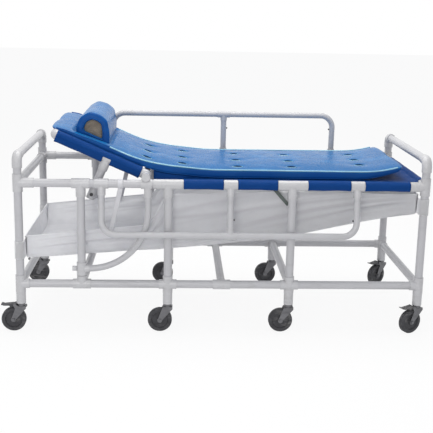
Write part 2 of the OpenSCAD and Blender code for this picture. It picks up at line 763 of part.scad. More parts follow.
module caster_fork(k) {
  eye_r = 13;
  crown_back = -24;
  crown_front = 26;
  ear_r = 8;
  braked = len(search(k, pedal_casters)) > 0;
  color(steel) place_caster(k) {
    difference() {
      union() {
        translate([crown_back, -fork_half - plate_t, crown_z])
          cube([crown_front - crown_back, 2 * (fork_half + plate_t), crown_t]);
        translate([0, 0, crown_z]) cylinder(r = race_r, h = race_top - crown_z);
        for (side = [-1, 1]) translate([0, side * (fork_half + plate_t / 2) + plate_t / 2, 0]) rotate(IN)
          linear_extrude(plate_t) {
            polygon([[crown_back, crown_z + crown_t], [crown_front, crown_z + crown_t],
              [crown_front, crown_z - 8], [eye_r - caster_trail - 1, axle_h],
              [-eye_r - caster_trail + 1, axle_h], [crown_back - 6, crown_z - 10]]);
            translate([-caster_trail, axle_h]) circle(r = eye_r);
            if (braked) translate([0, crown_z]) {
              translate(pedal_pivot) circle(r = ear_r);
              polygon([[crown_back - 6, -10], [pedal_pivot[0] - ear_r, pedal_pivot[1]],
                [pedal_pivot[0], pedal_pivot[1] + ear_r], [crown_back + 10, crown_t]]);
            }
          }
      }
      translate([0, 0, crown_z - over]) cylinder(r = stem_r + run_gap, h = race_top);
      translate([-caster_trail, 0, axle_h]) rotate(IN)
        cylinder(d = axle_d + 2 * seat_gap, h = 4 * fork_half, center = true);
    }
    if (braked) translate([pedal_pivot[0], 0, crown_z + pedal_pivot[1]]) rotate(IN)
      cylinder(r = pedal_pin_r, h = 2 * fork_half + over, center = true);
    translate([-caster_trail, 0, axle_h]) rotate(IN) {
      cylinder(d = axle_d, h = 2 * (fork_half + plate_t) + 2, center = true);
      for (end = [0, 1]) mirror([0, 0, end]) translate([0, 0, fork_half + plate_t + soft_gap])
        cylinder(d = axle_d + 7, h = 6, $fn = 6);
    }
  }
}

// Solid tyre on a dished hub, turned about the axle
module wheel(k) {
  hub_r = wheel_d / 2 - 22;
  lip = 5;
  color(dark) place_caster(k) translate([-caster_trail, 0, axle_h]) rotate(IN)
    rotate_extrude() polygon([[axle_d / 2 + run_gap, -wheel_w / 2 - 2], [axle_d / 2 + 8, -wheel_w / 2 - 2],
      [axle_d / 2 + 10, -wheel_w / 2 + 6], [hub_r, -wheel_w / 2 + 6], [hub_r + 3, -wheel_w / 2],
      [wheel_d / 2 - lip, -wheel_w / 2], [wheel_d / 2, -wheel_w / 2 + lip], [wheel_d / 2, wheel_w / 2 - lip],
      [wheel_d / 2 - lip, wheel_w / 2], [hub_r + 3, wheel_w / 2], [hub_r, wheel_w / 2 - 6],
      [axle_d / 2 + 10, wheel_w / 2 - 6], [axle_d / 2 + 8, wheel_w / 2 + 2],
      [axle_d / 2 + run_gap, wheel_w / 2 + 2]]);
}

// Foot pedal that presses its lug on the tread of a corner caster
module brake_pedal(k) {
  reach = 102;
  root = pedal_pivot[0] + 6;
  color(dark) place_caster(k) translate([0, 0, crown_z]) difference() {
    translate([0, fork_half - 1, 0]) rotate(IN) linear_extrude(2 * fork_half - 2)
      polygon([[root, 3], [root, 15], [root - 18, 16], [15 - reach, 11], [-reach, 15], [-reach, 10],
        [14 - reach, 6], [-60, 6], [-56, lug_clear - crown_clear], [-48, lug_clear - crown_clear], [-44, 3]]);
    translate([pedal_pivot[0], 0, pedal_pivot[1]]) rotate(IN)
      cylinder(r = pedal_pin_r + run_gap, h = 4 * fork_half, center = true);
  }
}

corner_posts();
middle_legs();
strut_posts();
bed_rails();
lower_rails();
bed_cross_tubes();
lower_cross_tubes();
push_handles();
handle_elbows();
bed_corner_tees();
bed_rail_tees();
lower_corner_tees();
lower_leg_crosses();
lower_rail_tees();
leg_sleeves();
arc_braces();
arc_post_tees();
hinge_saddles();
hinge_bar();
hinge_bar_caps();
body_sling();
body_pad();
drain_pan();
pan_straps();
caster_stems();
place_rail(true) rail_tube();  // front_rail_tube
place_rail(true) rail_mid_post();  // front_rail_mid_post
place_rail(true) rail_pivots();  // front_rail_pivots
place_rail(true) rail_studs();  // front_rail_studs
place_rail(false) rail_tube();  // rear_rail_tube
place_rail(false) rail_mid_post();  // rear_rail_mid_post
place_rail(false) rail_pivots();  // rear_rail_pivots
place_rail(false) rail_studs();  // rear_rail_studs
headrest_tubes();
headrest_fittings();
headrest_stems();
stem_bolts();
headrest_sling();
head_pad();
pillow();
for (k = [1 : caster_count]) caster_fork(k);
for (k = [1 : caster_count]) wheel(k);
for (k = pedal_casters) brake_pedal(k);
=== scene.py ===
"""Looks of a stretcher trolley for the shower room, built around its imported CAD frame.

X runs from head to foot, Y to the side whose rail is raised and Z up, in metres.
"""

import json
import math

import bpy
import numpy as np
from mathutils import Matrix
from mathutils.bvhtree import BVHTree


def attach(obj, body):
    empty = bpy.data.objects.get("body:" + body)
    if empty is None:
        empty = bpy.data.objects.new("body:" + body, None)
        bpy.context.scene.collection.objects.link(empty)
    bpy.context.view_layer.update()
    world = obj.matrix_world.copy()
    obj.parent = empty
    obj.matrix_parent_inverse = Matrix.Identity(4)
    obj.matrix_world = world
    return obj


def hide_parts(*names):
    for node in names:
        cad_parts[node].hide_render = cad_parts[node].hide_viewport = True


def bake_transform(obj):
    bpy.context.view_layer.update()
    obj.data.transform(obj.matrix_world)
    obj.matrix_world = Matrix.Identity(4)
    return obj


bl_info = {
    "name": "Stretcher trolley looks",
    "version": (1, 0, 0),
    "blender": (4, 5, 0),
    "location": "View3D > Sidebar > Trolley",
    "description": "Pad, pillow, slings, drain pan, finishes, light and camera of a stretcher trolley",
    "category": "Add Mesh",
}

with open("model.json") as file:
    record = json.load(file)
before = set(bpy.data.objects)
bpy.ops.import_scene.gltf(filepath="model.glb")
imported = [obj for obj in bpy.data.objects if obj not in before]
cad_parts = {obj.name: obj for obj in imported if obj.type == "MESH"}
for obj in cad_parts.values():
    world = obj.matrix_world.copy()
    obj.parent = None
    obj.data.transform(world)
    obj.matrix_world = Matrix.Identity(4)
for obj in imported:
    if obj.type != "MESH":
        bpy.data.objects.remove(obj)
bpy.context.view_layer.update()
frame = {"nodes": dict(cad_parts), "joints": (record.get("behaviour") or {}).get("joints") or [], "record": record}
NODES = frame["nodes"]
JOINTS = {joint["name"]: joint for joint in frame["joints"]}
MM = 0.001

# Places that the frame gives
HINGE = np.array(JOINTS["headrest_tilt"]["pos_m"])
TILT = math.radians(-JOINTS["headrest_tilt"]["range_deg"][0])
SIDE_Y = JOINTS["rear_rail_swing"]["pos_m"][1]
BED_Z = JOINTS["rear_rail_swing"]["pos_m"][2]
FOOT_X = JOINTS["caster_swivel_4"]["pos_m"][0]
HEAD_X = JOINTS["caster_swivel_1"]["pos_m"][0]
LEG_2_X = JOINTS["caster_swivel_2"]["pos_m"][0]
LEG_3_X = JOINTS["caster_swivel_3"]["pos_m"][0]

# Points this near become one: a point drawn out to a ring, and the seams of a skin or a sheet
POINT_MERGE, SEAM_MERGE = 1e-6, 1e-5

# Sizes shared with the frame
PIPE_R = 21.1 * MM
SLEEVE_R = 25.25 * MM
SOFT_GAP = 0.3 * MM
HEADREST_LEN = 505 * MM
HEADREST_Y = SIDE_Y - 56 * MM


# Properties


def length_setting(name, description, default):
    """A length in metres that a user can change."""
    return bpy.props.FloatProperty(name=name, description=description, default=default, unit="LENGTH")


def colour_setting(name, description, default):
    """A colour that a user can change."""
    return bpy.props.FloatVectorProperty(
        name=name, description=description, default=default, size=3, min=0, max=1, subtype="COLOR")


class PadSettings(bpy.types.PropertyGroup):
    """Sizes and colour of the long pad and its pillow."""

    width: length_setting("Width", "Across the pad", 0.70)
    thickness: length_setting("Thickness", "Of the pad at its edges", 0.040)
    crown: length_setting("Crown", "Rise of the pad's middle over its edges", 0.007)
    curl: length_setting("Foot curl", "How far the foot end lifts", 0.034)
    slit_length: length_setting("Slit length", "Of the drain slits along the pad", 0.054)
    slit_width: length_setting("Slit width", "Of the drain slits across the pad", 0.030)
    colour: colour_setting("Vinyl", "Blue cover of pad and pillow", (0.008, 0.132, 0.37))
    # The side colour is a darker copy of the vinyl: painted shade on the pad's sides and underside, its head and lower
    # piping and the pillow's ends and seams
    side: colour_setting("Side vinyl", "Darker panels round the pad and at the pillow's ends", (0.005, 0.076, 0.30))
    foam: colour_setting("Foam", "Foam that shows in the pillow's ends", (0.36, 0.30, 0.23))


class ClothSettings(bpy.types.PropertyGroup):
    """Sizes and colours of the slings and the drain pan."""

    sling_thickness: length_setting("Sling thickness", "Of the coated sling fabric", 0.0022)
    pan_thickness: length_setting("Pan thickness", "Of the drain pan's vinyl", 0.0024)
    fold: length_setting("Fold depth", "Of the pan's long folds", 0.011)
    sling: colour_setting("Sling", "Coated fabric of the slings", (0.004, 0.048, 0.21))
    pan: colour_setting("Pan", "White vinyl of the drain pan", (0.87, 0.87, 0.90))


class FrameSettings(bpy.types.PropertyGroup):
    """Colours of the pipework and the casters."""

    pipe: colour_setting("Pipe", "White plastic pipe", (0.50, 0.50, 0.52))
    fitting: colour_setting("Fittings", "Moulded white fittings", (0.53, 0.53, 0.545))
    fork: colour_setting("Forks", "Grey steel of the caster forks", (0.16, 0.16, 0.17))
    wheel: colour_setting("Wheels", "Dark rubber of the wheels", (0.035, 0.035, 0.04))


class StageSettings(bpy.types.PropertyGroup):
    """Light and camera."""

    lens: bpy.props.FloatProperty(
        name="Lens", description="Focal length for a 36 mm wide sensor", default=73.25, unit="CAMERA")
    key: bpy.props.FloatProperty(
        name="Key light", description="Strength of the soft box overhead", default=90.0, unit="POWER")
    fill: bpy.props.FloatProperty(
        name="Fill light", description="Strength of the surrounding light", default=0.60)


# Surfaces


def ease(v, a, b):
    """Smooth step: 0 before a, 1 after b and 3t^2 - 2t^3 between."""
    t = np.clip((v - a) / (b - a), 0, 1)
    return t * t * (3 - 2 * t)


def spans(points, axis, closed):
    """Running length along one axis of a grid, averaged over the other, with one more for a closed turn."""
    step = np.diff(points, axis=axis, append=points.take([0], axis=axis))
    length = np.linalg.norm(step, axis=2).mean(axis=1 - axis)
    along = np.concatenate([[0], np.cumsum(length)])
    return along if closed else along[:-1]


def grid(points, closed=(False, False), flip=False):
    """A patch: its points, quads between neighbours (i, j) and (i + 1, j + 1), and a UV in metres.

    A closed axis joins its last line of points to its first. Quads face along d/di x d/dj, or back if flipped.
    """
    rows, cols = points.shape[:2]
    i, j = np.meshgrid(np.arange(rows - (not closed[0])), np.arange(cols - (not closed[1])), indexing="ij")
    corner = [(i, j), (i + 1, j), (i + 1, j + 1), (i, j + 1)]
    if flip:
        corner = corner[::-1]
    u, v = spans(points, 0, closed[0]), spans(points, 1, closed[1])
    quads = np.stack([(a % rows) * cols + b % cols for a, b in corner], -1).reshape(-1, 4)
    uvs = np.stack([np.stack([u[a], v[b]], -1) for a, b in corner], -2).reshape(-1, 2)
    return points.reshape(-1, 3), quads, uvs


def piece(name, patches, material, merge=0.0):
    """One mesh object from patches, at the origin, with a UV map in metres and one material."""
    starts = np.cumsum([0] + [len(p[0]) for p in patches])
    points = np.concatenate([p[0] for p in patches])
    quads = np.concatenate([p[1] + s for p, s in zip(patches, starts)])
    uvs = np.concatenate([p[2] for p in patches])
    mesh = bpy.data.meshes.new(name)
    mesh.from_pydata(points.tolist(), [], quads.tolist())
    mesh.uv_layers.new(name="UVMap").data.foreach_set("uv", uvs.astype(np.float32).ravel())
    mesh.polygons.foreach_set("use_smooth", np.ones(len(mesh.polygons), bool))
    mesh.materials.append(material)
    mesh.update()
    obj = bpy.data.objects.new(name, mesh)
    bpy.context.scene.collection.objects.link(obj)
    if merge:
        weld = obj.modifiers.new("weld", "WELD")
        weld.merge_threshold = merge
        apply_modifiers(obj)
    return obj


def apply_modifiers(obj):
    """Puts the mesh that the modifiers make in the object's place, and drops the modifiers."""
    made = bpy.data.meshes.new_from_object(obj.evaluated_get(bpy.context.evaluated_depsgraph_get()))
    obj.modifiers.clear()
    obj.data = made


def thicken(obj, thickness, offset=-1.0):
    """Gives a sheet its wall: inwards, or to both sides with an offset of 0."""
    wall = obj.modifiers.new("wall", "SOLIDIFY")
    wall.thickness = thickness
    wall.offset = offset
    return obj


def tube(path, radius, sides, closed=False):
    """Round section carried along a path: a ring in the plane across each step.

    Each ring starts from Z, or X for a path that starts upright, less its part along the path. An open path has one
    more ring at each end that is a point, for the piece to merge.
    """
    path = np.asarray(path, float)
    ahead = np.roll(path, -1, 0) - np.roll(path, 1, 0)
    if not closed:
        ahead[0], ahead[-1] = path[1] - path[0], path[-1] - path[-2]
    ahead /= np.linalg.norm(ahead, axis=1)[:, None]
    radius = np.broadcast_to(np.asarray(radius, float), len(path))
    if not closed:
        path = np.concatenate([path[:1], path, path[-1:]])
        ahead = np.concatenate([ahead[:1], ahead, ahead[-1:]])
        radius = np.concatenate([[0.0], radius, [0.0]])
    spare = np.array([0, 0, 1.0]) if abs(ahead[0, 2]) < 0.9 else np.array([1.0, 0, 0])
    side = np.cross(np.cross(ahead, spare), ahead)
    side /= np.maximum(np.linalg.norm(side, axis=1), 1e-9)[:, None]
    other = np.cross(ahead, side)
    turn = np.linspace(0, 2 * math.pi, sides, endpoint=False)
    ring = np.cos(turn)[None, :, None] * side[:, None] + np.sin(turn)[None, :, None] * other[:, None]
    return grid(path[:, None] + radius[:, None, None] * ring, (closed, True), flip=True)


def resample(path, count):
    """The same polyline with points at equal lengths along it."""
    along = np.concatenate([[0], np.cumsum(np.linalg.norm(np.diff(path, axis=0), axis=1))])
    want = np.linspace(0, along[-1], count)
    return np.stack([np.interp(want, along, path[:, k]) for k in range(path.shape[1])], -1)


def headrest_point(x, y, z):
    """A point given in the headrest's own frame, X from the hinge to the foot and Z up from its tubes."""
    c, s = math.cos(TILT), math.sin(TILT)
    x, y, z = np.broadcast_arrays(x, y, z)
    return np.stack([HINGE[0] + c * x + s * z, y + 0.0 * x, HINGE[2] - s * x + c * z], -1)


# Shader parts


def add(tree, kind, inputs=None, **settings):
    """A new node with its settings, its input values and the links into it."""
    node = tree.nodes.new(kind)
    for key, value in settings.items():
        setattr(node, key, value)
    for key, value in (inputs or {}).items():
        if isinstance(value, bpy.types.NodeSocket):
            tree.links.new(value, node.inputs[key])
        else:
            node.inputs[key].default_value = value
    return node


def new_group(name, inputs, outputs):
    """An empty shader group with its sockets, and its input and output nodes."""
    tree = bpy.data.node_groups.new(name, "ShaderNodeTree")
    for label, kind, value in inputs:
        socket = tree.interface.new_socket(name=label, in_out="INPUT", socket_type=kind)
        if value is not None:
            socket.default_value = value
    for label in outputs:
        tree.interface.new_socket(name=label, in_out="OUTPUT", socket_type="NodeSocketFloat")
    return tree, add(tree, "NodeGroupInput").outputs, add(tree, "NodeGroupOutput").inputs


def mottle_group():
    """Soft cloudy value between Low and High."""
    tree, given, out = new_group(
        "Mottle",
        [("Vector", "NodeSocketVector", None), ("Scale", "NodeSocketFloat", 8.0),
         ("Low", "NodeSocketFloat", 0.0), ("High", "NodeSocketFloat", 1.0)],
        ["Value"])
    noise = add(tree, "ShaderNodeTexNoise",
                {"Vector": given["Vector"], "Scale": given["Scale"], "Detail": 4.0, "Roughness": 0.6})
    spread = add(tree, "ShaderNodeMapRange",
                 {"Value": noise.outputs["Fac"], "From Min": 0.3, "From Max": 0.7,
                  "To Min": given["Low"], "To Max": given["High"]})
    tree.links.new(spread.outputs["Result"], out["Value"])
    return tree


def grain_group():
    """Pebbled vinyl: rounded cells between fine creases, over a slight unevenness."""
    tree, given, out = new_group(
        "Vinyl grain",
        [("Vector", "NodeSocketVector", None), ("Scale", "NodeSocketFloat", 400.0)],
        ["Height", "Crease"])
    cells = add(tree, "ShaderNodeTexVoronoi",
                {"Vector": given["Vector"], "Scale": given["Scale"], "Randomness": 0.9},
                feature="DISTANCE_TO_EDGE")
    crease = add(tree, "ShaderNodeMapRange",
                 {"Value": cells.outputs["Distance"], "From Min": 0.0, "From Max": 0.22,
                  "To Min": 0.0, "To Max": 1.0}, interpolation_type="SMOOTHSTEP")
    coarse = add(tree, "ShaderNodeTexNoise", {"Vector": given["Vector"], "Scale": 45.0, "Detail": 3.0})
    height = add(tree, "ShaderNodeMath",
                 {0: coarse.outputs["Fac"], 1: 1.2, 2: crease.outputs["Result"]}, operation="MULTIPLY_ADD")
    tree.links.new(height.outputs[0], out["Height"])
    tree.links.new(crease.outputs["Result"], out["Crease"])
    return tree


def scuff_group():
    """Mask of sparse handling marks: streaks where two stretched noises both run high."""
    tree, given, out = new_group(
        "Handling marks",
        [("Vector", "NodeSocketVector", None), ("Scale", "NodeSocketFloat", 12.0),
         ("Amount", "NodeSocketFloat", 0.4)],
        ["Mask"])
    streak = add(tree, "ShaderNodeVectorMath", {0: given["Vector"], 1: (0.35, 1.0, 1.6)}, operation="MULTIPLY")
    fine = add(tree, "ShaderNodeTexNoise",
               {"Vector": streak.outputs[0], "Scale": given["Scale"], "Detail": 6.0, "Distortion": 0.6})
    broad = add(tree, "ShaderNodeTexNoise", {"Vector": given["Vector"], "Scale": 3.0, "Detail": 2.0})
    both = add(tree, "ShaderNodeMath", {0: fine.outputs["Fac"], 1: broad.outputs["Fac"]}, operation="MULTIPLY")
    mask = add(tree, "ShaderNodeMapRange",
               {"Value": both.outputs[0], "From Min": 0.26, "From Max": 0.42, "To Max": given["Amount"]},
               interpolation_type="SMOOTHSTEP")
    tree.links.new(mask.outputs["Result"], out["Mask"])
    return tree


def weave_group():
    """Plain weave from a UV in metres: warp and weft ridges that take turns on top."""
    tree, given, out = new_group(
        "Weave", [("Vector", "NodeSocketVector", None), ("Threads", "NodeSocketFloat", 700.0)], ["Height"])
    turned = add(tree, "ShaderNodeVectorMath", {0: given["Vector"]}, operation="SCALE")
    tree.links.new(given["Threads"], turned.inputs["Scale"])
    split = add(tree, "ShaderNodeSeparateXYZ", {0: turned.outputs[0]})
    waves = [add(tree, "ShaderNodeMath", {0: split.outputs[k], 1: 0.0}, operation="SINE") for k in (0, 1)]
    height = add(tree, "ShaderNodeMath", {0: waves[0].outputs[0], 1: waves[1].outputs[0]}, operation="MULTIPLY")
    tree.links.new(height.outputs[0], out["Height"])
    return tree


class Finish:
    """A material being made: its tree, its shader and the coordinates it reads."""

    def __init__(self, name, **shader):
        self.material = bpy.data.materials.new(name)
        self.material.use_nodes = True
        self.tree = self.material.node_tree
        self.tree.nodes.clear()
        self.shader = add(self.tree, "ShaderNodeBsdfPrincipled", {k.replace("_", " "): v for k, v in shader.items()})
        output = add(self.tree, "ShaderNodeOutputMaterial")
        self.tree.links.new(self.shader.outputs["BSDF"], output.inputs["Surface"])
        coords = add(self.tree, "ShaderNodeTexCoord")
        self.place, self.uv = coords.outputs["Object"], coords.outputs["UV"]

    def group(self, tree, **inputs):
        """A shared effect placed here with its own values."""
        return add(self.tree, "ShaderNodeGroup", inputs, node_tree=tree).outputs

    def cloud(self, scale, low=0.0, high=1.0):
        """A cloudy value between low and high."""
        return self.group(effect("mottle"), Vector=self.place, Scale=scale, Low=low, High=high)["Value"]

    def marks(self, scale, amount):
        """A mask of handling marks."""
        return self.group(effect("scuff"), Vector=self.place, Scale=scale, Amount=amount)["Mask"]

    def colour(self, first, second, factor):
        """Mixes two colours by a mask; either may be a colour already made."""
        mix = add(self.tree, "ShaderNodeMix", data_type="RGBA")
        for index, value in ((0, factor), (6, first), (7, second)):
            if isinstance(value, bpy.types.NodeSocket):
                self.tree.links.new(value, mix.inputs[index])
            else:
                mix.inputs[index].default_value = value if index == 0 else (*value, 1.0)
        return mix.outputs[2]

    def use(self, **sockets):
        """Links sockets into the shader."""
        for key, value in sockets.items():
            self.tree.links.new(value, self.shader.inputs[key.replace("_", " ")])
        return self

    def bump(self, height, distance, strength=1.0):
        """Raises the surface by a height; a second call adds finer relief."""
        bump = add(self.tree, "ShaderNodeBump", {"Height": height, "Distance": distance, "Strength": strength})
        old = self.shader.inputs["Normal"].links
        if old:
            self.tree.links.new(old[0].from_socket, bump.inputs["Normal"])
        self.tree.links.new(bump.outputs["Normal"], self.shader.inputs["Normal"])
        return self


def shade(colour, factor, tint=(1.0, 1.0, 1.0)):
    """A darker or tinted neighbour of a colour."""
    return tuple(c * factor * t for c, t in zip(colour, tint))


EFFECTS = {}


def effect(name):
    """The shared effect of that name, built at its first use."""
    makers = {"mottle": mottle_group, "grain": grain_group, "scuff": scuff_group, "weave": weave_group}
    if name not in EFFECTS:
        EFFECTS[name] = makers[name]()
    return EFFECTS[name]


def plastic(name, colour, rough, grain):
    """White moulded plastic: cloudy gloss, faint handling marks, a trace of orange peel."""
    f = Finish(name, Coat_Weight=0.15, Coat_Roughness=0.2, IOR=1.5)
    tone = f.cloud(5.0)
    marks = f.marks(30.0, 0.35)
    body = f.colour(colour, shade(colour, 0.94, (1.0, 1.0, 0.99)), tone)
    f.use(Base_Color=f.colour(body, shade(colour, 0.72, (1.0, 0.99, 0.97)), marks),
          Roughness=f.cloud(26.0, rough - 0.06, rough + 0.08))
    fine = f.cloud(grain)
    return f.bump(fine, 0.00012).material


def vinyl(name, colour, rough, grain, depth):
    """Glossy pebbled vinyl over foam: creases a little darker with painted shade, wiped bright in places."""
    f = Finish(name, Coat_Weight=0.02, Coat_Roughness=0.22, IOR=1.45, Specular_IOR_Level=0.12)
    skin = f.group(effect("grain"), Vector=f.place, Scale=grain)
    tone = f.cloud(7.0)
    marks = f.marks(22.0, 0.3)
    body = f.colour(shade(colour, 0.86), shade(colour, 1.1), tone)
    # Darker in the grain's creases: painted shade
    body = f.colour(shade(colour, 0.85), body, skin["Crease"])
    f.use(Base_Color=f.colour(body, shade(colour, 1.5, (1.6, 1.2, 1.0)), marks),
          Roughness=f.cloud(18.0, rough - 0.07, rough + 0.09))
    return f.bump(skin["Height"], depth).material


def coated_fabric(name, colour, rough, threads, depth, crease_shade=""):
    """Coated woven cloth: threads show through the coat, cloudy colour, soft marks, and painted shade where the named
    mesh attribute runs high.
    """
    f = Finish(name, Specular_IOR_Level=0.07)
    weave = f.group(effect("weave"), Vector=f.uv, Threads=threads)["Height"]
    tone = f.cloud(9.0)
    marks = f.marks(18.0, 0.1)
    body = f.colour(shade(colour, 0.94), shade(colour, 1.04), tone)
    body = f.colour(body, shade(colour, 0.8), marks)
    # Painted shade in the folds, by a mask that the mesh carries
    if crease_shade:
        folds = add(f.tree, "ShaderNodeAttribute", attribute_name=crease_shade)
        body = f.colour(body, shade(colour, 0.82, (1.0, 0.98, 0.99)), folds.outputs["Fac"])
    f.use(Base_Color=body,
          Roughness=f.cloud(14.0, rough - 0.08, rough + 0.08))
    crumple = f.cloud(16.0)
    return f.bump(crumple, 0.0012, 0.6).bump(weave, depth).material


def metal(name, colour, rough, metallic):
    """Worn plated or painted steel: cloudy gloss and dull scuffs."""
    f = Finish(name, Metallic=metallic)
    tone = f.cloud(30.0)
    marks = f.marks(60.0, 0.6)
    body = f.colour(shade(colour, 0.85), shade(colour, 1.1), tone)
    f.use(Base_Color=f.colour(body, shade(colour, 0.5), marks),
          Roughness=f.cloud(70.0, rough - 0.1, rough + 0.12))
    return f.bump(tone, 0.0001).material


def rubber(name, colour, rough):
    """Dull dark rubber or nylon with grey floor dust in streaks."""
    f = Finish(name)
    dust = f.marks(40.0, 0.7)
    tone = f.cloud(35.0)
    body = f.colour(shade(colour, 0.8), shade(colour, 1.3), tone)
    f.use(Base_Color=f.colour(body, (0.20, 0.195, 0.19), dust),
          Roughness=f.cloud(60.0, rough - 0.1, rough + 0.15))
    return f.bump(f.cloud(500.0), 0.0002).material


def foam_finish(name, colour):
    """Open-cell foam: deep round pores darkened with painted shade, browned unevenly."""
    f = Finish(name, Roughness=0.95)
    pores = add(f.tree, "ShaderNodeTexVoronoi", {"Vector": f.place, "Scale": 260.0}, feature="SMOOTH_F1")
    tone = f.cloud(40.0)
    body = f.colour(shade(colour, 0.6), shade(colour, 1.15), tone)
    # Darker in the pores: painted shade
    f.use(Base_Color=f.colour(shade(colour, 0.45), body, pores.outputs["Distance"]))
    return f.bump(pores.outputs["Distance"], 0.002).material


# Hard parts


FITTINGS = (
    "handle_elbows", "bed_corner_tees", "bed_rail_tees", "lower_corner_tees", "lower_leg_crosses", "lower_rail_tees",
    "leg_sleeves", "arc_post_tees", "hinge_saddles", "hinge_bar_caps", "front_rail_pivots", "rear_rail_pivots",
    "headrest_fittings",
)


class TROLLEY_OT_hard_parts(bpy.types.Operator):
    """Give each pipe, fitting, caster and stud of the frame its finish"""

    bl_idname = "trolley.hard_parts"
    bl_label = "Finish the hard parts"

    def execute(self, context):
        look = context.scene.trolley_frame
        finishes = {
            "pipe": plastic("white_pipe", look.pipe, 0.34, 220.0),
            "fitting": plastic("white_fitting", look.fitting, 0.28, 420.0),
            "fork": metal("fork_steel", look.fork, 0.42, 0.55),
            "wheel": rubber("wheel_rubber", look.wheel, 0.6),
            "pedal": rubber("pedal_nylon", shade(look.wheel, 1.2), 0.5),
            "studs": metal("dark_stud", shade(look.fork, 0.25), 0.4, 0.4),
        }
        slots = {s["node"]: s["material_slot"] for s in frame["record"]["subparts"]}
        for name, obj in NODES.items():
            finish = finishes.get("fitting" if name in FITTINGS else slots[name])
            if finish is not None:
                obj.data.materials.clear()
                obj.data.materials.append(finish)
        return {"FINISHED"}


# Pad


# Rows of drain slits: distance from the frame's head end and the places across, from the front
SLIT_ROWS = (
    (0.648, (0.164, 0.339, 0.546)),
    (0.834, (0.164, 0.339, 0.546)),
    (1.126, (0.164, 0.339, 0.546)),
    (1.412, (0.175, 0.328, 0.539)),
    (1.787, (0.236, 0.390, 0.562)),
)
PAD_OVERHANG = 0.034
# Where the pillow lies on the pad, along X
PILLOW_ON = (-0.775, -0.600)
PILLOW_WIDE = 0.560
PAD_THIN = 0.012
PAD_SINK = 0.008
PAD_ALONG = 194
PAD_AROUND = 120
# Relief of the pad's top: depth and reach of the trough along a row of slits and of the dimple at a slit
TROUGH, TROUGH_X = 0.003, 0.055
DIMPLE, DIMPLE_X, DIMPLE_Y = 0.0085, 0.042, 0.026
PILLOW_DENT = 0.010
PAD_WAVE = 0.0016
# Radius of the piping that carries the painted highlight, of its part under the pillow and of the lower one, which
# carry the painted shade of the sides, and where they lie in the thickness
PIPING_R, PIPING_HEAD_R, PIPING_LOW_R = 0.0038, 0.0032, 0.0026
PIPING_AT, PIPING_LOW_AT = 0.91, 0.10
# A slit's insert: how far it stands over the skin, how thick it is and how far its far side gapes
SLIT_OVER, SLIT_THICK, SLIT_GAPE = 0.0014, 0.004, 0.0044
LIP_R, FAR_LIP_R, FAR_LIP_DROP = 0.0020, 0.0030, 0.0024
# Simulation of the covers: frames, inner pressure and the most that a point moves
SWELL_FRAMES, SWELL_PRESSURE, SWELL_CAP = 20, 4.0, 0.005


def pad_line():
    """Underside of the pad in X and Z, from the head end over the hinge to the lifted foot.

    It is the headrest's slope, bent down over the end tube, then the bed's level with a rise over the hinge bar and a
    curl at the foot, rounded into one line at the hinge by averaging over a short length.
    """
    pad = bpy.context.scene.trolley_pad
    base = SLEEVE_R + SOFT_GAP
    u = np.linspace(-HEADREST_LEN - PAD_OVERHANG, -0.02, 200)
    head = headrest_point(u, 0.0, base - 0.016 * ease(-u, 0.46, 0.56))[:, [0, 2]]
    start, stop = HINGE[0] + 0.062, FOOT_X - 0.095
    x = np.linspace(start + 0.02, stop, 400)
    lift = 0.55 * (HINGE[2] - BED_Z + 0.0074)
    z = (BED_Z + base - PAD_SINK + lift * (1 - ease(x, start - 0.04, LEG_2_X + 0.26))
         + 1.85 * pad.curl * ease(x, stop - 0.33, stop + 0.06) ** 2)
    line = resample(np.concatenate([head, np.stack([x, z], -1)]), 900)
    width = 61
    inner = np.stack([np.convolve(np.pad(line[:, k], width // 2, mode="edge"), np.ones(width) / width, "valid")
                      for k in (0, 1)], -1)
    near_hinge = np.exp(-((line[:, 0] - HINGE[0] - 0.02) / 0.13) ** 4)[:, None]
    return resample(line * (1 - near_hinge) + inner * near_hinge, PAD_ALONG)


def pad_frame(line):
    """Unit directions square to the line, upwards."""
    ahead = np.gradient(line, axis=0)
    ahead /= np.linalg.norm(ahead, axis=1)[:, None]
    return np.stack([-ahead[:, 1], ahead[:, 0]], -1)


def slit_places():
    """X and Y of the middle of each slit, seen from above."""
    return np.array([(HEAD_X + x, y - SIDE_Y) for x, ys in SLIT_ROWS for y in ys])


def head_share(line):
    """0 on the bed and 1 at the head end, where the pad's edges are pressed down."""
    return 1 - ease(line[:, 0], line[0, 0] + 0.02, line[0, 0] + 0.30)


def foot_share(line):
    """0 up to the last leg and 1 at the pad's foot end, which thins to a flap."""
    return ease(line[:, 0], line[-1, 0] - 0.26, line[-1, 0])


def pad_thickness(line):
    """Thickness at the pad's edges, less on the headrest and least at both ends, where the load has pressed it."""
    pad = bpy.context.scene.trolley_pad
    on_bed = ease(line[:, 0], HINGE[0] - 0.12, HINGE[0] + 0.10)
    thick = pad.thickness + PAD_SINK * on_bed - PAD_THIN * (1 - on_bed)
    return thick - 0.014 * head_share(line) - 0.024 * foot_share(line)


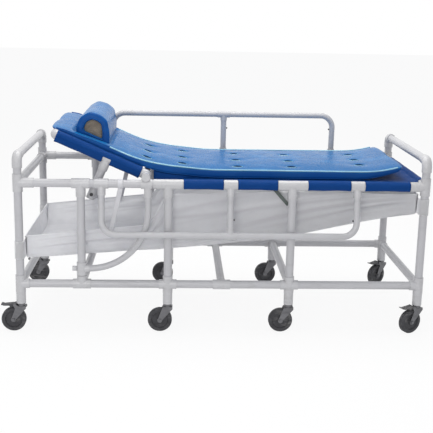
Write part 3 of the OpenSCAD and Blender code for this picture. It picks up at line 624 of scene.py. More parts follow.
def pad_top(line, across):
    """Height of the pad's top over its underside at every station and place across.

    Thickness plus a crown that falls to the edges, less a round dimple at each slit, a shallow trough along each row
    of slits and a dent under the pillow, plus slow waves.
    """
    pad = bpy.context.scene.trolley_pad
    x, y = line[:, 0, None], across[None, :]
    crown = (pad.crown - 0.003 * head_share(line))[:, None]
    top = pad_thickness(line)[:, None] + crown * (1 - (2 * y / pad.width) ** 2)
    for row, _ in SLIT_ROWS:
        top -= TROUGH * np.exp(-((x - HEAD_X - row) / TROUGH_X) ** 2)
    for sx, sy in slit_places():
        top -= DIMPLE * np.exp(-((x - sx) / DIMPLE_X) ** 2 - ((y - sy) / DIMPLE_Y) ** 2)
    dent = ease(x, PILLOW_ON[0] - 0.02, PILLOW_ON[0]) * ease(-x, -PILLOW_ON[1] - 0.02, -PILLOW_ON[1])
    top -= PILLOW_DENT * dent * ease(-np.abs(y), -PILLOW_WIDE / 2 - 0.02, -PILLOW_WIDE / 2)
    wave = np.sin(9.0 * x + 4.0 * y) * np.cos(7.0 * y - 3.0 * x)
    return top + PAD_WAVE * wave * ease(pad.width / 2 - np.abs(y), 0.0, 0.08)


def pad_half_width(line):
    """Half width along the pad: drawn in between the ends and rounded off at the corners, more at the head."""
    pad = bpy.context.scene.trolley_pad
    t = np.linspace(0, 1, len(line))
    end = (1 - np.abs(2 * t - 1) ** 60) ** 0.5
    near = np.clip(1 - t / 0.045, 0, 1)
    return pad.width / 2 - 0.010 * np.sin(math.pi * t) ** 2 - 0.03 * (1 - end) - 0.045 * (1 - (1 - near ** 2) ** 0.5)


def pad_ring():
    """Places round a boxed section as shares of its half width and height, closer together at the sides."""
    turn = np.linspace(0, 2 * math.pi, 2401)
    bent = lambda v, p: np.sign(v) * np.abs(v) ** p
    y, lift = bent(np.cos(turn), 0.34), 0.5 + 0.5 * bent(np.sin(turn), 0.26)
    step = np.hypot(np.diff(y) * 0.345, np.diff(lift) * 0.045)
    step *= 1 + 2.5 * np.exp(-((1 - np.abs(y[:-1])) / 0.07) ** 2)
    far = np.concatenate([[0], np.cumsum(step)])
    at = np.linspace(0, far[-1], PAD_AROUND, endpoint=False)
    return np.interp(at, far, y), np.interp(at, far, lift)


def pad_surface(line):
    """Pad skin: at each station a flat-bottomed ring, bulged at the sides and crowned on top."""
    up = pad_frame(line)
    half = pad_half_width(line)
    t = np.linspace(0, 1, len(line))
    end = (1 - np.abs(2 * t - 1) ** 90) ** 0.5
    y, lift = pad_ring()
    place = half[:, None] * y[None, :]
    across = np.linspace(-0.36, 0.36, 241)
    tops = np.stack([np.interp(place[i], across, row) for i, row in enumerate(pad_top(line, across))])
    squeeze = (0.25 + 0.75 * end)[:, None]
    middle = pad_thickness(line)[:, None] * 0.5
    height = middle + (tops * lift[None, :] - middle) * squeeze
    xz = line[:, None] + height[..., None] * up[:, None]
    return np.stack([xz[..., 0], place, xz[..., 1]], -1)


def closed_skin(points):
    """A patch round a row of rings, with each end closed by rings drawn in to its middle."""
    shrink = np.array([0.97, 0.8, 0.5, 0.2, 0.0])[:, None, None]
    head, foot = points[0], points[-1]
    middle = [end.mean(0, keepdims=True) for end in (head, foot)]
    first = middle[0] + shrink[::-1] * (head - middle[0])[None]
    last = middle[1] + shrink * (foot - middle[1])[None]
    return np.concatenate([first, points, last])


def blend_at_hinge(obj):
    """Bakes the piece's placement into its mesh."""
    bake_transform(obj)


def swell(obj, pinned):
    """Swells a cover by cloth simulation under inner pressure, without gravity.

    Pinned points stay, and the rest move at most by about the cap: a move m becomes cap times tanh(m / cap).
    """
    mesh, scene = obj.data, bpy.context.scene
    start = np.empty(len(mesh.vertices) * 3, np.float32)
    mesh.vertices.foreach_get("co", start)
    start = start.reshape(-1, 3).astype(float)
    held = obj.vertex_groups.new(name="held")
    held.add(np.flatnonzero(pinned(start)).tolist(), 1.0, "REPLACE")
    cloth = obj.modifiers.new("swell", "CLOTH")
    cloth.settings.quality = 4
    cloth.settings.mass = 0.3
    cloth.settings.tension_stiffness = cloth.settings.compression_stiffness = 15
    cloth.settings.bending_stiffness = 0.6
    cloth.settings.use_pressure = True
    cloth.settings.uniform_pressure_force = SWELL_PRESSURE
    cloth.settings.vertex_group_mass = held.name
    cloth.settings.effector_weights.gravity = 0
    cloth.collision_settings.use_collision = False
    cloth.point_cache.frame_start, cloth.point_cache.frame_end = 1, SWELL_FRAMES
    for step in range(1, SWELL_FRAMES + 1):
        scene.frame_set(step)
    result = obj.evaluated_get(bpy.context.evaluated_depsgraph_get()).to_mesh()
    moved = np.empty_like(start, np.float32).ravel()
    result.vertices.foreach_get("co", moved)
    moved = moved.reshape(-1, 3) - start
    length = np.maximum(np.linalg.norm(moved, axis=1), 1e-9)[:, None]
    obj.modifiers.remove(cloth)
    obj.vertex_groups.clear()
    scene.frame_set(1)
    swelled = start + moved * SWELL_CAP * np.tanh(length / SWELL_CAP) / length
    mesh.vertices.foreach_set("co", swelled.astype(np.float32).ravel())
    mesh.update()


def refine(obj):
    """One subdivision, applied."""
    levels = obj.modifiers.new("finer", "SUBSURF")
    levels.levels = levels.render_levels = 1
    apply_modifiers(obj)


def paint_side_shade(obj, finish, up):
    """Gives a cover's side panels and underside a darker copy of its finish where the face turns away from up: painted
    shade.
    """
    obj.data.materials.append(finish)
    normals = np.empty(len(obj.data.polygons) * 3, np.float32)
    obj.data.polygons.foreach_get("normal", normals)
    obj.data.polygons.foreach_set("material_index", (normals.reshape(-1, 3) @ up < 0.45).astype(np.int32))


class TROLLEY_OT_pad(bpy.types.Operator):
    """Make the long pad with its welted edges and drain slits"""

    bl_idname = "trolley.pad"
    bl_label = "Pad"

    def execute(self, context):
        pad = context.scene.trolley_pad
        line = pad_line()
        up = pad_frame(line)
        cover = vinyl("pad_vinyl", pad.colour, 0.28, 120.0, 0.00014)
        # Lighter vinyl for the upper piping past the pillow and the slits' near lips: a painted highlight
        highlight_vinyl = vinyl("pad_welt", shade(pad.colour, 1.5, (30.0, 3.2, 1.4)), 0.2, 700.0, 0.0001)
        skin = grid(closed_skin(pad_surface(line)), (False, True), flip=True)
        skin = piece("pad_cover", [skin], cover, merge=SEAM_MERGE)
        half = pad_half_width(line)
        line_z = lambda x: np.interp(x, line[:, 0], line[:, 1])
        welted = lambda p: np.abs(p[:, 1]) > np.interp(p[:, 0], line[:, 0], half) - 0.004
        swell(skin, lambda p: welted(p) | (p[:, 2] < line_z(p[:, 0]) + 0.006))
        refine(skin)
        # Darker copy of the vinyl for faces turned away from up: painted shade
        side_shade_vinyl = vinyl("pad_side_vinyl", pad.side, 0.36, 420.0, 0.00006)
        paint_side_shade(skin, side_shade_vinyl, np.array([0, 0, 1]))
        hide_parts("body_pad", "head_pad")
        out = half * 0.992 - 0.001

        def edge(height, radius, start, stop):
            """Piping along both sides at a share of the pad's thickness, between two stations."""
            x, z = (line + up * (pad_thickness(line) * height)[:, None]).T
            return [tube(np.stack([x, side * out, z], -1)[start:stop], radius, 10) for side in (-1, 1)]

        past_pillow = int(np.searchsorted(line[:, 0], PILLOW_ON[1]))
        # The upper piping past the pillow carries the painted highlight
        bright = edge(PIPING_AT, PIPING_R, past_pillow, -3)
        # The piping's part under the pillow and the lower piping take the darker side copy: painted shade
        dull = edge(PIPING_AT, PIPING_HEAD_R, 3, past_pillow + 1) + edge(PIPING_LOW_AT, PIPING_LOW_R, 3, -3)
        piping = [piece("pad_piping", bright, highlight_vinyl, merge=POINT_MERGE),
                  piece("pad_low_piping", dull, side_shade_vinyl, merge=POINT_MERGE)]
        lips, far_lips, holes = [], [], []
        turn = np.linspace(0, 2 * math.pi, 28, endpoint=False)
        surface = BVHTree.FromObject(skin, context.evaluated_depsgraph_get())
        share = np.array([0.0, 0.25, 0.5, 0.75, 1.0, 0.75, 0.5, 0.25, 0.0])[:, None]
        under = np.array([0, 0, 0, 0, 0, 1, 1, 1, 1])[:, None] * SLIT_THICK
        for sx, sy in slit_places():
            x = sx + share * pad.slit_length / 2 * np.cos(turn)
            y = sy + share * pad.slit_width / 2 * np.sin(turn) * (0.35 + 0.65 * np.abs(np.sin(turn)))
            z = [surface.ray_cast((a, b, 2.0), (0, 0, -1))[0].z for a, b in zip(x.flat, y.flat)]
            gape = SLIT_GAPE * share * np.clip(np.sin(turn), 0, 1)
            rings = np.stack([x, y, np.reshape(z, x.shape) + SLIT_OVER + gape - under], -1)
            # The near lip takes the lighter vinyl: a painted highlight
            lips.append(tube(rings[4, 14:], LIP_R, 8))
            far_lips.append(tube(rings[4, :15] - [0, 0, FAR_LIP_DROP], FAR_LIP_R, 8))
            holes.append(grid(rings, (False, True)))
        # Dark patch in each slit, standing for the shade inside it: painted shade
        dark = Finish(
            "slit_inside", Base_Color=(0.004, 0.020, 0.068, 1.0), Roughness=0.9, Specular_IOR_Level=0.1,
        ).material
        slits = [piece("pad_slit_lips", lips, highlight_vinyl, merge=POINT_MERGE),
                 piece("pad_slit_far_lips", far_lips, cover, merge=POINT_MERGE),
                 piece("pad_slit_holes", holes, dark, merge=POINT_MERGE)]
        for obj in (skin, *piping, *slits):
            blend_at_hinge(obj)
        return {"FINISHED"}


# Pillow


# Corners of the bolster's section in the headrest's X and Z, from its edge at the hinge side over the top
PILLOW_SECTION = (
    (-0.230, 0.034), (-0.254, 0.100), (-0.292, 0.160), (-0.340, 0.174), (-0.394, 0.166), (-0.428, 0.122),
    (-0.432, 0.070), (-0.416, 0.036), (-0.330, 0.034),
)
PILLOW_EYE = (-0.342, 0.094)
PILLOW_AROUND = 96


def pillow_ring():
    """Section of the bolster: its corners joined by even steps and rounded by averaging each point's neighbours."""
    corners = np.array((*PILLOW_SECTION, PILLOW_SECTION[0]))
    ring = resample(corners, PILLOW_AROUND + 1)[:-1]
    weights = (1, 2, 3, 4, 3, 2, 1)
    return sum(w * np.roll(ring, k - 3, axis=0) for k, w in enumerate(weights)) / sum(weights)


class TROLLEY_OT_pillow(bpy.types.Operator):
    """Make the bolster pillow: a vinyl cover, open at its ends over the foam"""

    bl_idname = "trolley.pillow"
    bl_label = "Pillow"

    def execute(self, context):
        pad = context.scene.trolley_pad
        turn = np.linspace(0, 2 * math.pi, PILLOW_AROUND, endpoint=False)
        ring, middle = pillow_ring(), np.array([PILLOW_EYE])
        # Half of the cover from the middle outwards: straight, round the end, in to the opening, back and closed behind
        bend = np.linspace(0, math.pi / 2, 9)[1:]
        half, round_r = PILLOW_WIDE / 2, 0.016
        out = np.concatenate([np.linspace(0, half - round_r, 40), half - round_r + round_r * np.sin(bend),
                              half + np.array([0.001, -0.002, -0.012, -0.030, -0.032, -0.032, -0.032])])
        size = np.concatenate([np.ones(40), 1 - 0.26 * (1 - np.cos(bend)), [0.62, 0.55, 0.53, 0.53, 0.48, 0.24, 0.0]])
        y = np.concatenate([-out[:0:-1], out])
        k = np.concatenate([size[:0:-1], size])
        creases = 0.0016 * np.sin(5 * turn[None, :] + 26 * y[:, None])
        creases = creases * np.sin(math.pi * np.abs(y[:, None]) / half) ** 2
        inside = np.clip((k - 0.9) / 0.1, 0, 1)[:, None]
        xz = middle[None] + (ring - middle)[None] * (k[:, None] * (1 - creases * 6 * inside))[..., None]
        points = headrest_point(xz[..., 0], y[:, None] + 0 * turn[None], xz[..., 1])
        cover = piece("pillow_cover", [grid(points, (False, True))], bpy.data.materials["pad_vinyl"], merge=POINT_MERGE)
        lean = np.array([math.sin(TILT), 0.0, math.cos(TILT)])
        swell(cover, lambda p: (np.abs(p[:, 1]) > half - 0.034) | ((p - HINGE) @ lean < 0.060))
        refine(cover)
        # The pillow's ends and seams take the darker side copy of the vinyl: painted shade
        cover.data.materials.append(bpy.data.materials["pad_side_vinyl"])
        ends = np.abs(np.array([f.normal.y for f in cover.data.polygons])) > 0.5
        cover.data.polygons.foreach_set("material_index", ends.astype(np.int32))
        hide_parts("pillow")
        grow = np.array([0.0, 0.2, 0.4, 0.57])
        deep = half - 0.016 + 0.006 * (1 - (grow / 0.57) ** 2)
        grow, deep = np.concatenate([grow, grow[::-1]]), np.concatenate([-deep, deep[::-1]])
        xz = middle[None] + (ring - middle)[None] * grow[:, None, None]
        foam = grid(headrest_point(xz[..., 0], deep[:, None] + 0 * turn[None], xz[..., 1]), (False, True))
        core = piece("pillow_foam", [foam], foam_finish("pillow_foam_finish", pad.foam), merge=POINT_MERGE)
        rims = [tube(points[at], 0.0030, 8, closed=True) for at in (6, -7)]
        seam = piece("pillow_seams", rims, bpy.data.materials["pad_side_vinyl"])
        for obj in (cover, core, seam):
            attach(obj, "headrest")
        return {"FINISHED"}


# Slings


# Radius of the sheet where it wraps a tube
WRAP_R = SLEEVE_R - 0.0004
# How far the headrest's sleeves reach over the stem tees and towards the hinge
STEM_ROOM, HINGE_ROOM = 0.026, 0.050
HEAD_START = -0.497
# The sheet runs level up to this far from a tube's axis, and then climbs over the tube
SLING_EDGE = 0.062
# Points of the sleeve's section that the head sling's flap covers
FLAP_POINTS = 20
# Half length of the sleeve on the foot's cross tube
FOOT_SLEEVE = 0.343
# How far past the second leg the sling shows under the pad's lifted part
SHOULDER_PAST_LEG = 0.20


def sleeve_spans(node, y, along):
    """Lengths of tube that a sling's CAD solid wraps: where its points stand out past the tube's axis.

    along turns points into distances along the tube.
    """
    mesh = NODES[node].data
    points = np.empty(len(mesh.vertices) * 3, np.float32)
    mesh.vertices.foreach_get("co", points)
    points = points.reshape(-1, 3)
    ends = np.unique(np.round(along(points[points[:, 1] > y + 0.8 * SLEEVE_R]), 3))
    ends = ends[np.concatenate([[True], np.diff(ends) > 0.003])]
    return ends.reshape(-1, 2)


def sleeve_profile(dip):
    """Section of a sling's rear edge about the tube: up over the top, round the tube and back under to its hem.

    Y points outwards. The sheet climbs by dip to the top of a circle, and its hem leaves the circle under it.
    """
    r = WRAP_R
    turn = np.linspace(math.pi / 2, -1.22 * math.pi, 40)
    loop = np.stack([r * np.cos(turn), r * np.sin(turn)], -1)
    run = np.linspace(0, 1, 9)[:-1]
    rise = np.stack([SLING_EDGE * (run - 1), r - dip * (1 - ease(run, 0, 1))], -1)
    back = np.stack([np.linspace(-r - 0.004, 0.005 - SLING_EDGE, 6), np.linspace(r - 0.006, r - dip - 0.0035, 6)], -1)
    return np.concatenate([rise, loop, back])


def sling_patches(length, y, spans_along, to_row, dip, over_fittings=0.0):
    """Sagging sheet between the tubes and a sleeve patch for each wrapped length on both sides.

    The sheet has faint puckers towards its edges. A sleeve is its profile carried along the tube, a little slack and
    hanging below it, with a doubled hem at each end and wider by over_fittings, which also carries a flap over the
    fittings between the sleeves. to_row places the points, given along, across and up.
    """
    x = np.linspace(*length, 150)[:, None]
    edge = y - SLING_EDGE
    across = np.linspace(-edge, edge, 70)[None, :]
    pucker = 0.0008 * np.sin(150 * x + 3 * across) * (np.abs(across) / edge) ** 6
    patches = [grid(to_row(x + 0 * across, across + 0 * x, WRAP_R - dip - np.abs(pucker)))]
    profile = sleeve_profile(dip)
    strips = [(start, stop, len(profile), over_fittings) for start, stop in spans_along]
    if over_fittings:
        strips.append((*length, FLAP_POINTS, over_fittings + 0.0012))
    for start, stop, count, over in strips:
        shape = profile[None, :count]
        x = np.linspace(start, stop, max(12, int((stop - start) / 0.006)))[:, None]
        near_end = np.minimum(x - start, stop - x)
        hem = 0.0009 * (1 - ease(near_end, 0.011, 0.013))
        turn = np.linspace(0, 1, len(profile))[None, :count]
        round_part = ease(turn, 0.08, 0.16) * (1 - ease(turn, 0.8, 0.9))
        slack = 0.0011 * np.sin(37 * x + 9 * turn) * np.sin(11 * x - 14 * turn) + hem + over
        grow = 1 + round_part * slack / SLEEVE_R
        hang = 1.6 * over_fittings * ease(-shape[..., 1], -0.005, SLEEVE_R)
        for side in (-1, 1):
            points = to_row(x + 0 * turn, side * (y + shape[..., 0] * grow), shape[..., 1] * grow - hang)
            patches.append(grid(points, flip=side < 0))
    return patches


def foot_sleeve():
    """Sleeve of the bed sling round the foot's cross tube: a full turn about Y, a little slack."""
    y = np.linspace(-FOOT_SLEEVE, FOOT_SLEEVE, 90)[:, None]
    turn = np.linspace(0, 2 * math.pi, 32, endpoint=False)[None, :]
    r = WRAP_R + 0.0008 * np.sin(31 * y + 2 * turn) * np.sin(9 * y)
    points = np.stack([FOOT_X + r * np.cos(turn), y + 0 * turn, BED_Z + r * np.sin(turn)], -1)
    return grid(points, (False, True), flip=True)


def sling_shoulder(first_sleeve, stop):
    """Strip of sling under the pad, from the hinge to stop.

    A skirt on each side drops to the rails, or to the sheet from the first sleeve on.
    """
    line = pad_line()
    line, half = line[:-1], pad_half_width(line)[:-1]
    on = (line[:, 0] > HINGE[0] + 0.034) & (line[:, 0] < stop)
    line, half = line[on], half[on] - 0.005
    drop = np.linspace(1, 0, 8)
    across = np.concatenate([-np.ones(8), np.linspace(-1, 1, 40)[1:-1], np.ones(8)])
    share = np.concatenate([drop, np.zeros(38), drop[::-1]])
    high = line[:, 1] - 0.0015
    on_sheet = np.minimum(BED_Z + SLEEVE_R - PAD_SINK, high - 0.0002)
    low = np.where(line[:, 0] < first_sleeve + 0.012, BED_Z + 0.006, on_sheet)
    z = high[:, None] + (low - high)[:, None] * share[None, :]
    return grid(np.stack([line[:, 0, None] + 0 * z, half[:, None] * across[None, :], z], -1))


class TROLLEY_OT_slings(bpy.types.Operator):
    """Make the two slings, each a sheet hemmed round its tubes between the fittings"""

    bl_idname = "trolley.slings"
    bl_label = "Slings"

    def execute(self, context):
        cloth = context.scene.trolley_cloth
        fabric = coated_fabric("sling_fabric", cloth.sling, 0.50, 2600.0, 0.00025)
        bed = lambda x, y, z: np.stack(np.broadcast_arrays(x, y, BED_Z + z), -1)
        lean = np.array([math.cos(TILT), 0.0, -math.sin(TILT)])
        bed_spans = sleeve_spans("body_sling", SIDE_Y, lambda p: p[:, 0])
        head_spans = sleeve_spans("headrest_sling", HEADREST_Y, lambda p: (p - HINGE) @ lean)
        head_spans += [[0.0, STEM_ROOM], [-STEM_ROOM, HINGE_ROOM]]
        head_spans[0, 0] = HEAD_START
        for name, node, y, spans_along, stop, dip, over, to_row, body, tubes in (
            ("bed_sling", "body_sling", SIDE_Y, bed_spans, FOOT_X - 0.0190, PAD_SINK + 0.001, 0.0, bed,
             "frame", "bed_rails"),
            ("head_sling", "headrest_sling", HEADREST_Y, head_spans, head_spans[-1, 1], 0.001, 0.0030, headrest_point,
             "headrest", "headrest_tubes"),
        ):
            length = (spans_along[0, 0], stop)
            patches = sling_patches(length, y, spans_along, to_row, dip, over)
            extra = []
            if name == "bed_sling":
                patches.append(foot_sleeve())
                shoulder = sling_shoulder(length[0], LEG_2_X + SHOULDER_PAST_LEG)
                extra = [thicken(piece("bed_sling_shoulder", [shoulder], fabric), cloth.sling_thickness)]
                blend_at_hinge(extra[0])
            obj = thicken(piece(name, patches, fabric), cloth.sling_thickness)
            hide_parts(node)
            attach(obj, body)
        return {"FINISHED"}


# Drain pan


PAN_HEAD_Z, PAN_FOOT_Z, PAN_RIM_Z = 0.372, 0.628, 0.497
PAN_HALF = SIDE_Y - 0.034
PAN_LEAN = 0.012
PAN_ROUND = 0.040
PAN_END_GAP = 0.0260
STRAP_TAB = 0.090
# Thickness of the webbing of the hangers and the tie
WEBBING_THICK = 0.0020
# From the frame's head end to a hanger's loop on the rail and to its foot on the rim
HANGER_TOP, HANGER_FOOT = 0.519, 0.462
# Ends of the dark tie that hangs by the third leg on the front
TIE_FROM, TIE_TO = (0.268, -0.402, 0.762), (0.340, -0.403, 0.682)


def pan_rim(x):
    """Height of the rim: it climbs slowly from the head and steps up at the second leg to hang just under the bed."""
    low = PAN_RIM_Z + 0.106 * (x - HEAD_X)
    high = BED_Z - 0.060 + 0.020 * ease(x, LEG_2_X, LEG_3_X) - 0.008 * ease(x, LEG_3_X, FOOT_X)
    return low + (high - low) * ease(x, LEG_2_X - 0.110, LEG_2_X + 0.010)


def pan_surface(fold, rows=200, cols=180):
    """Trough of soft sheet: across it a sagging floor, a round corner and a wall that leans out a little.

    Each section is cut at even steps of its length. The floor climbs to the foot, and its middle hangs below its edges.
    Long folds run slanting along the walls, short gathers stand where the rim steps up, and the floor has shallow
    ripples along its length. Folds fade at the corner, the rim and the ends. Also gives how deep in a fold a point is:
    the mask of painted shade in the folds.
    """
    t = np.linspace(0, 1, rows)[:, None]
    u = np.linspace(-1, 1, cols)[None, :]
    x = HEAD_X + PAN_END_GAP + t * (FOOT_X - HEAD_X - 2 * PAN_END_GAP) + 0 * u
    middle = PAN_HEAD_Z + (PAN_FOOT_Z - PAN_HEAD_Z) * (0.35 * t + 0.65 * t ** 2.2)
    edge = np.maximum(0.375 + 0.158 * t + 0.094 * ease(t, 0.53, 1.0), middle + 0.002)
    rim = pan_rim(x)
    r = np.minimum(PAN_ROUND, 0.6 * (rim - edge))
    flat = PAN_HALF - PAN_LEAN - r
    far = np.abs(u) * (flat + r * math.pi / 2 + rim - edge - r)
    bend = np.clip((far - flat) / r, 0, math.pi / 2)
    climb = np.clip((far - flat - r * math.pi / 2) / (rim - edge - r), 0, 1)
    across = np.minimum(far, flat) + r * np.sin(bend) + PAN_LEAN * climb
    z = edge + r * (1 - np.cos(bend)) + climb * (rim - edge - r)
    level = 1 - np.clip(np.abs(across) / (PAN_HALF - PAN_LEAN), 0, 1) ** 2
    z -= (edge - middle) * level * (bend < math.pi / 2)
    ends = ease(t, 0, 0.1) * ease(1 - t, 0, 0.1)
    wall = 4 * climb * (1 - climb)
    valley = lambda phase: 2 * np.sqrt(np.sin(math.pi * phase) ** 2 + 0.02) - 1.1
    side = np.sign(u)
    bow = 0.06 * np.sin(9 * t + side)
    phases = (1.4 * climb - 1.9 * t + 0.2 * side + bow,
              2.1 * climb - 1.5 * t + 0.55 - bow,
              3.2 * climb - 4.1 * t + 0.37)
    shares = (0.9, 0.8, 0.5 * ease(t, 0.25, 0.5))
    long_folds = sum(share * valley(phase) for share, phase in zip(shares, phases))
    # Mask of the fold valleys, for the painted shade in the folds
    crease_shade = sum(share * np.exp(-(np.sin(math.pi * phase) / 0.26) ** 2) for share, phase in zip(shares, phases))
    gather = np.exp(-((x - LEG_2_X + 0.05) / 0.06) ** 2) * np.sin(2 * math.pi * x / 0.034) * ease(climb, 0.1, 0.7)
    out = fold * (long_folds * wall * 0.7 - 0.4 * wall + 0.4 * gather * (1 - 0.7 * climb)) * ends
    ripple = 0.5 * np.cos(math.pi * (6 * t + 2 * u)) + 0.25 * np.sin(math.pi * (15 * t + 5 * u))
    ripple += 0.8 * valley(2.6 * u + 1.8 * t) * np.sin(math.pi * t)
    points = np.stack([x, side * (across + out), z + fold * ripple * level * ends], -1)
    return points, np.clip(crease_shade * wall * ends, 0, 1)


def pan_end(line, rows=24):
    """End wall: each point of the pan's last section carried straight up to the rim, slack in the middle."""
    s = np.linspace(0, 1, rows)[:, None]
    top = max(line[0, 2], line[-1, 2])
    z = line[None, :, 2] * (1 - s) + top * s
    slack = 0.006 * np.sin(math.pi * s) * np.sin(14 * line[None, :, 1] + 3 * s)
    inward = -np.sign(line[0, 0])
    return np.stack([line[None, :, 0] + inward * np.abs(slack), line[None, :, 1] + 0 * s, z], -1)


def post_strap(end, side, low, tall):
    """Band of sheet from the pan's end wall round the corner post: a straight tab, then most of a turn."""
    r = PIPE_R + 0.0018
    turn = np.linspace(0, 1.72 * math.pi, 44)
    tab = np.stack([np.full(12, r), np.linspace(-STRAP_TAB, 0, 12)], -1)
    loop = np.stack([r * np.cos(turn), r * np.sin(turn)], -1)
    profile = np.concatenate([tab[:-1], loop])
    z = np.linspace(low, low + tall, 18)[:, None]
    along = np.linspace(0, 1, len(profile))[None, :]
    slack = 1 + 0.02 * np.abs(np.sin(60 * z + 5 * along)) * ease(along, 0.3, 0.4)
    x = end + np.sign(-end) * profile[None, :, 0] * slack
    y = side * (SIDE_Y + profile[None, :, 1] * slack)
    return grid(np.stack([x, y, z + 0 * along], -1), flip=(side * end > 0))


def hanger_strap(side, top_x, rim_x, rim):
    """Webbing looped round the bed rail and run down slanting to the pan's rim, flat side outwards."""
    r = PIPE_R + 0.0016
    turn = np.linspace(-0.5 * math.pi, 1.5 * math.pi, 40)
    loop = np.stack([np.full(40, top_x), SIDE_Y + r * np.cos(turn), BED_Z + r * np.sin(turn)], -1)
    foot = np.array([rim_x, np.abs(rim[1]) + 0.003, rim[2] - 0.030])
    head = loop[-1] + [0, -0.001, -0.002]
    s = np.linspace(0, 1, 30)[:, None]
    run = head * (1 - s) + foot * s - [[0, 0.012, 0]] * np.sin(math.pi * s)
    path = resample(np.concatenate([loop, run]), 90)
    width = np.linspace(-0.013, 0.013, 7)
    points = path[:, None] + width[None, :, None] * [1.0, 0, 0]
    points[..., 1] *= side
    return grid(points, flip=side > 0)


class TROLLEY_OT_drain_pan(bpy.types.Operator):
    """Make the drain pan with its folds, hems, straps and hangers"""

    bl_idname = "trolley.drain_pan"
    bl_label = "Drain pan"

    def execute(self, context):
        cloth = context.scene.trolley_cloth
        sheet = coated_fabric("pan_vinyl", cloth.pan, 0.40, 1500.0, 0.00002, crease_shade="fold")
        glow = next(n for n in sheet.node_tree.nodes if n.type == "BSDF_PRINCIPLED").inputs
        glow["Subsurface Weight"].default_value = 0.9
        glow["Subsurface Radius"].default_value = (1.0, 1.0, 1.0)
        glow["Subsurface Scale"].default_value = 0.02
        points, crease_shade = pan_surface(cloth.fold)
        ends = [pan_end(points[0]), pan_end(points[-1])]
        patches = [grid(points), grid(ends[0], flip=True), grid(ends[1])]
        pan = piece("drain_pan_sheet", patches, sheet)
        # The fold attribute holds the mask of painted shade in the folds; the end walls have none
        depth = pan.data.attributes.new("fold", "FLOAT", "POINT")
        ends_unshaded = np.zeros(ends[0].size * 2 // 3)
        depth.data.foreach_set("value", np.concatenate([crease_shade.ravel(), ends_unshaded]).astype(np.float32))
        weld = pan.modifiers.new("weld", "WELD")
        weld.merge_threshold = SEAM_MERGE
        pan = thicken(pan, cloth.pan_thickness, offset=0.0)
        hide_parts("drain_pan")
        rims = [points[:, 0], points[:, -1], ends[0][-1], ends[1][-1]]
        hem = piece("drain_pan_hem", [tube(resample(rim, 160), 0.0034, 10) for rim in rims], sheet, merge=POINT_MERGE)
        straps = []
        for end, low, tall in ((HEAD_X, PAN_HEAD_Z + 0.02, PAN_RIM_Z - PAN_HEAD_Z - 0.032),
                               (FOOT_X, PAN_FOOT_Z + 0.014, pan_rim(FOOT_X) - PAN_FOOT_Z - 0.03)):
            straps += [post_strap(end, side, low, float(tall)) for side in (-1, 1)]
        straps = thicken(piece("drain_pan_straps", straps, sheet), 0.0022, offset=0.0)
        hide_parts("pan_straps")
        rim_x = HEAD_X + HANGER_FOOT
        at = int(np.argmin(np.abs(points[:, 0, 0] - rim_x)))
        webbing = coated_fabric("pan_webbing", shade(cloth.pan, 0.8), 0.55, 2200.0, 0.0003)
        hangers = [hanger_strap(side, HEAD_X + HANGER_TOP, rim_x, points[at, 0]) for side in (-1, 1)]
        hangers = thicken(piece("drain_pan_hangers", hangers, webbing), WEBBING_THICK, offset=0.0)
        s = np.linspace(0, 1, 20)[:, None]
        run = TIE_FROM + (np.array(TIE_TO) - TIE_FROM) * s - [0, 0.006, 0] * np.sin(math.pi * s)
        strip = run[:, None] + np.linspace(-0.009, 0.009, 5)[None, :, None] * [1.0, 0, 0.35]
        tie = piece("pan_tie", [grid(strip)], coated_fabric("tie_webbing", (0.13, 0.15, 0.14), 0.6, 2200.0, 0.0003))
        tie = thicken(tie, WEBBING_THICK, offset=0.0)
        for obj in (pan, hem, straps, hangers, tie):
            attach(obj, "frame")
        return {"FINISHED"}


# Stage


CAMERA_AT = (-0.2417, -4.8409, 1.6734)
CAMERA_YAW, CAMERA_PITCH, CAMERA_ROLL = 0.0471888, 0.2331923, 0.0205980


def camera_axes():
    """Right, up and back directions of a camera turned by yaw to the foot, pitch down and roll."""
    y, p, r = CAMERA_YAW, CAMERA_PITCH, CAMERA_ROLL
    ahead = np.array([math.sin(y) * math.cos(p), math.cos(y) * math.cos(p), -math.sin(p)])
    level = np.array([math.cos(y), -math.sin(y), 0.0])
    up = np.cross(level, ahead)
    return np.stack([math.cos(r) * level + math.sin(r) * up, -math.sin(r) * level + math.cos(r) * up, -ahead], -1)


def seen_rays(tree):
    """1 for what the camera sees, directly or in a gloss, and 0 for the light that falls on things."""
    rays = add(tree, "ShaderNodeLightPath").outputs
    return add(tree, "ShaderNodeMath", {0: rays["Is Camera Ray"], 1: rays["Is Glossy Ray"]},
               operation="MAXIMUM").outputs[0]


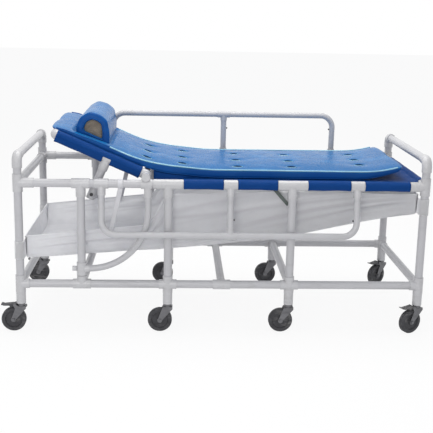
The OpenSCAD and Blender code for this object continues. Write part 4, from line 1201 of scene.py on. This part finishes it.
class TROLLEY_OT_stage(bpy.types.Operator):
    """Set the floor, the light and the camera"""

    bl_idname = "trolley.stage"
    bl_label = "Stage"

    def execute(self, context):
        scene = context.scene
        look = scene.trolley_stage
        scene.view_settings.view_transform = "Standard"
        span = np.linspace(-30, 30, 3)
        floor_points = np.stack([*np.meshgrid(span, span, indexing="ij"), np.zeros((3, 3))], -1)
        pale = Finish("pale_floor", Roughness=0.9)
        pale.shader.inputs["Base Color"].default_value = (0.86, 0.86, 0.87, 1.0)
        white = add(pale.tree, "ShaderNodeEmission", {"Color": (1, 1, 1, 1), "Strength": 1.0})
        share = add(pale.tree, "ShaderNodeMath", {0: seen_rays(pale.tree), 1: 0.9}, operation="MULTIPLY")
        mix = add(pale.tree, "ShaderNodeMixShader",
                  {0: share.outputs[0], 1: pale.shader.outputs[0], 2: white.outputs[0]})
        output = next(n for n in pale.tree.nodes if n.type == "OUTPUT_MATERIAL")
        pale.tree.links.new(mix.outputs[0], output.inputs["Surface"])
        piece("floor", [grid(floor_points)], pale.material)
        world = bpy.data.worlds.new("studio")
        scene.world = world
        world.use_nodes = True
        tree = world.node_tree
        tree.nodes.clear()
        soft = add(tree, "ShaderNodeBackground", {"Color": (0.96, 0.97, 1.0, 1), "Strength": look.fill})
        white = add(tree, "ShaderNodeBackground", {"Color": (1, 1, 1, 1), "Strength": 1.0})
        mix = add(tree, "ShaderNodeMixShader", {0: seen_rays(tree), 1: soft.outputs[0], 2: white.outputs[0]})
        out = add(tree, "ShaderNodeOutputWorld")
        tree.links.new(mix.outputs[0], out.inputs["Surface"])
        for name, at, size, power, colour in (
            ("soft_box", (-0.2, 0.3, 3.6), 3.4, look.key, (1.0, 0.99, 0.97)),
            ("front_box", (-1.2, -4.4, 2.0), 3.0, look.key * 0.6, (1.0, 0.99, 0.98)),
        ):
            lamp = bpy.data.lights.new(name, "AREA")
            lamp.shape, lamp.size, lamp.energy, lamp.color = "DISK", size, power, colour
            obj = bpy.data.objects.new(name, lamp)
            aim = np.array([0.0, 0.0, 0.6]) - np.array(at)
            z = -aim / np.linalg.norm(aim)
            x = np.cross([0, 1, 0], z) if abs(z[1]) < 0.9 else np.cross([1, 0, 0], z)
            x /= np.linalg.norm(x)
            turn = Matrix(np.stack([x, np.cross(z, x), z], -1).tolist()).to_4x4()
            obj.matrix_world = Matrix.Translation(at) @ turn
            scene.collection.objects.link(obj)
        lens = bpy.data.cameras.new("camera")
        lens.lens, lens.sensor_width = look.lens, 36.0
        camera = bpy.data.objects.new("camera", lens)
        camera.matrix_world = Matrix.Translation(CAMERA_AT) @ Matrix(camera_axes().tolist()).to_4x4()
        scene.collection.objects.link(camera)
        scene.camera = camera
        return {"FINISHED"}


# Add-on


class TROLLEY_PT_panel(bpy.types.Panel):
    """Lists the trolley's pieces and settings"""

    bl_idname = "TROLLEY_PT_panel"
    bl_label = "Stretcher trolley"
    bl_space_type = "VIEW_3D"
    bl_region_type = "UI"
    bl_category = "Trolley"

    def draw(self, context):
        for group in (context.scene.trolley_pad, context.scene.trolley_cloth,
                      context.scene.trolley_frame, context.scene.trolley_stage):
            for key in group.bl_rna.properties.keys():
                if key not in ("rna_type", "name"):
                    self.layout.prop(group, key)
        for operator in OPERATORS:
            self.layout.operator(operator.bl_idname)


SETTINGS = {
    "trolley_pad": PadSettings,
    "trolley_cloth": ClothSettings,
    "trolley_frame": FrameSettings,
    "trolley_stage": StageSettings,
}
OPERATORS = (
    TROLLEY_OT_stage, TROLLEY_OT_hard_parts, TROLLEY_OT_pad, TROLLEY_OT_pillow, TROLLEY_OT_slings,
    TROLLEY_OT_drain_pan,
)


def register():
    for cls in (*SETTINGS.values(), *OPERATORS, TROLLEY_PT_panel):
        bpy.utils.register_class(cls)
    for name, cls in SETTINGS.items():
        setattr(bpy.types.Scene, name, bpy.props.PointerProperty(type=cls))


def unregister():
    for name in SETTINGS:
        delattr(bpy.types.Scene, name)
    for cls in (TROLLEY_PT_panel, *reversed(OPERATORS), *reversed(SETTINGS.values())):
        bpy.utils.unregister_class(cls)


def main():
    """Builds the looks piece by piece."""
    register()
    for operator in (bpy.ops.trolley.stage, bpy.ops.trolley.hard_parts, bpy.ops.trolley.pad, bpy.ops.trolley.pillow,
                     bpy.ops.trolley.slings, bpy.ops.trolley.drain_pan):
        operator()


if __name__ == "__main__":
    main()
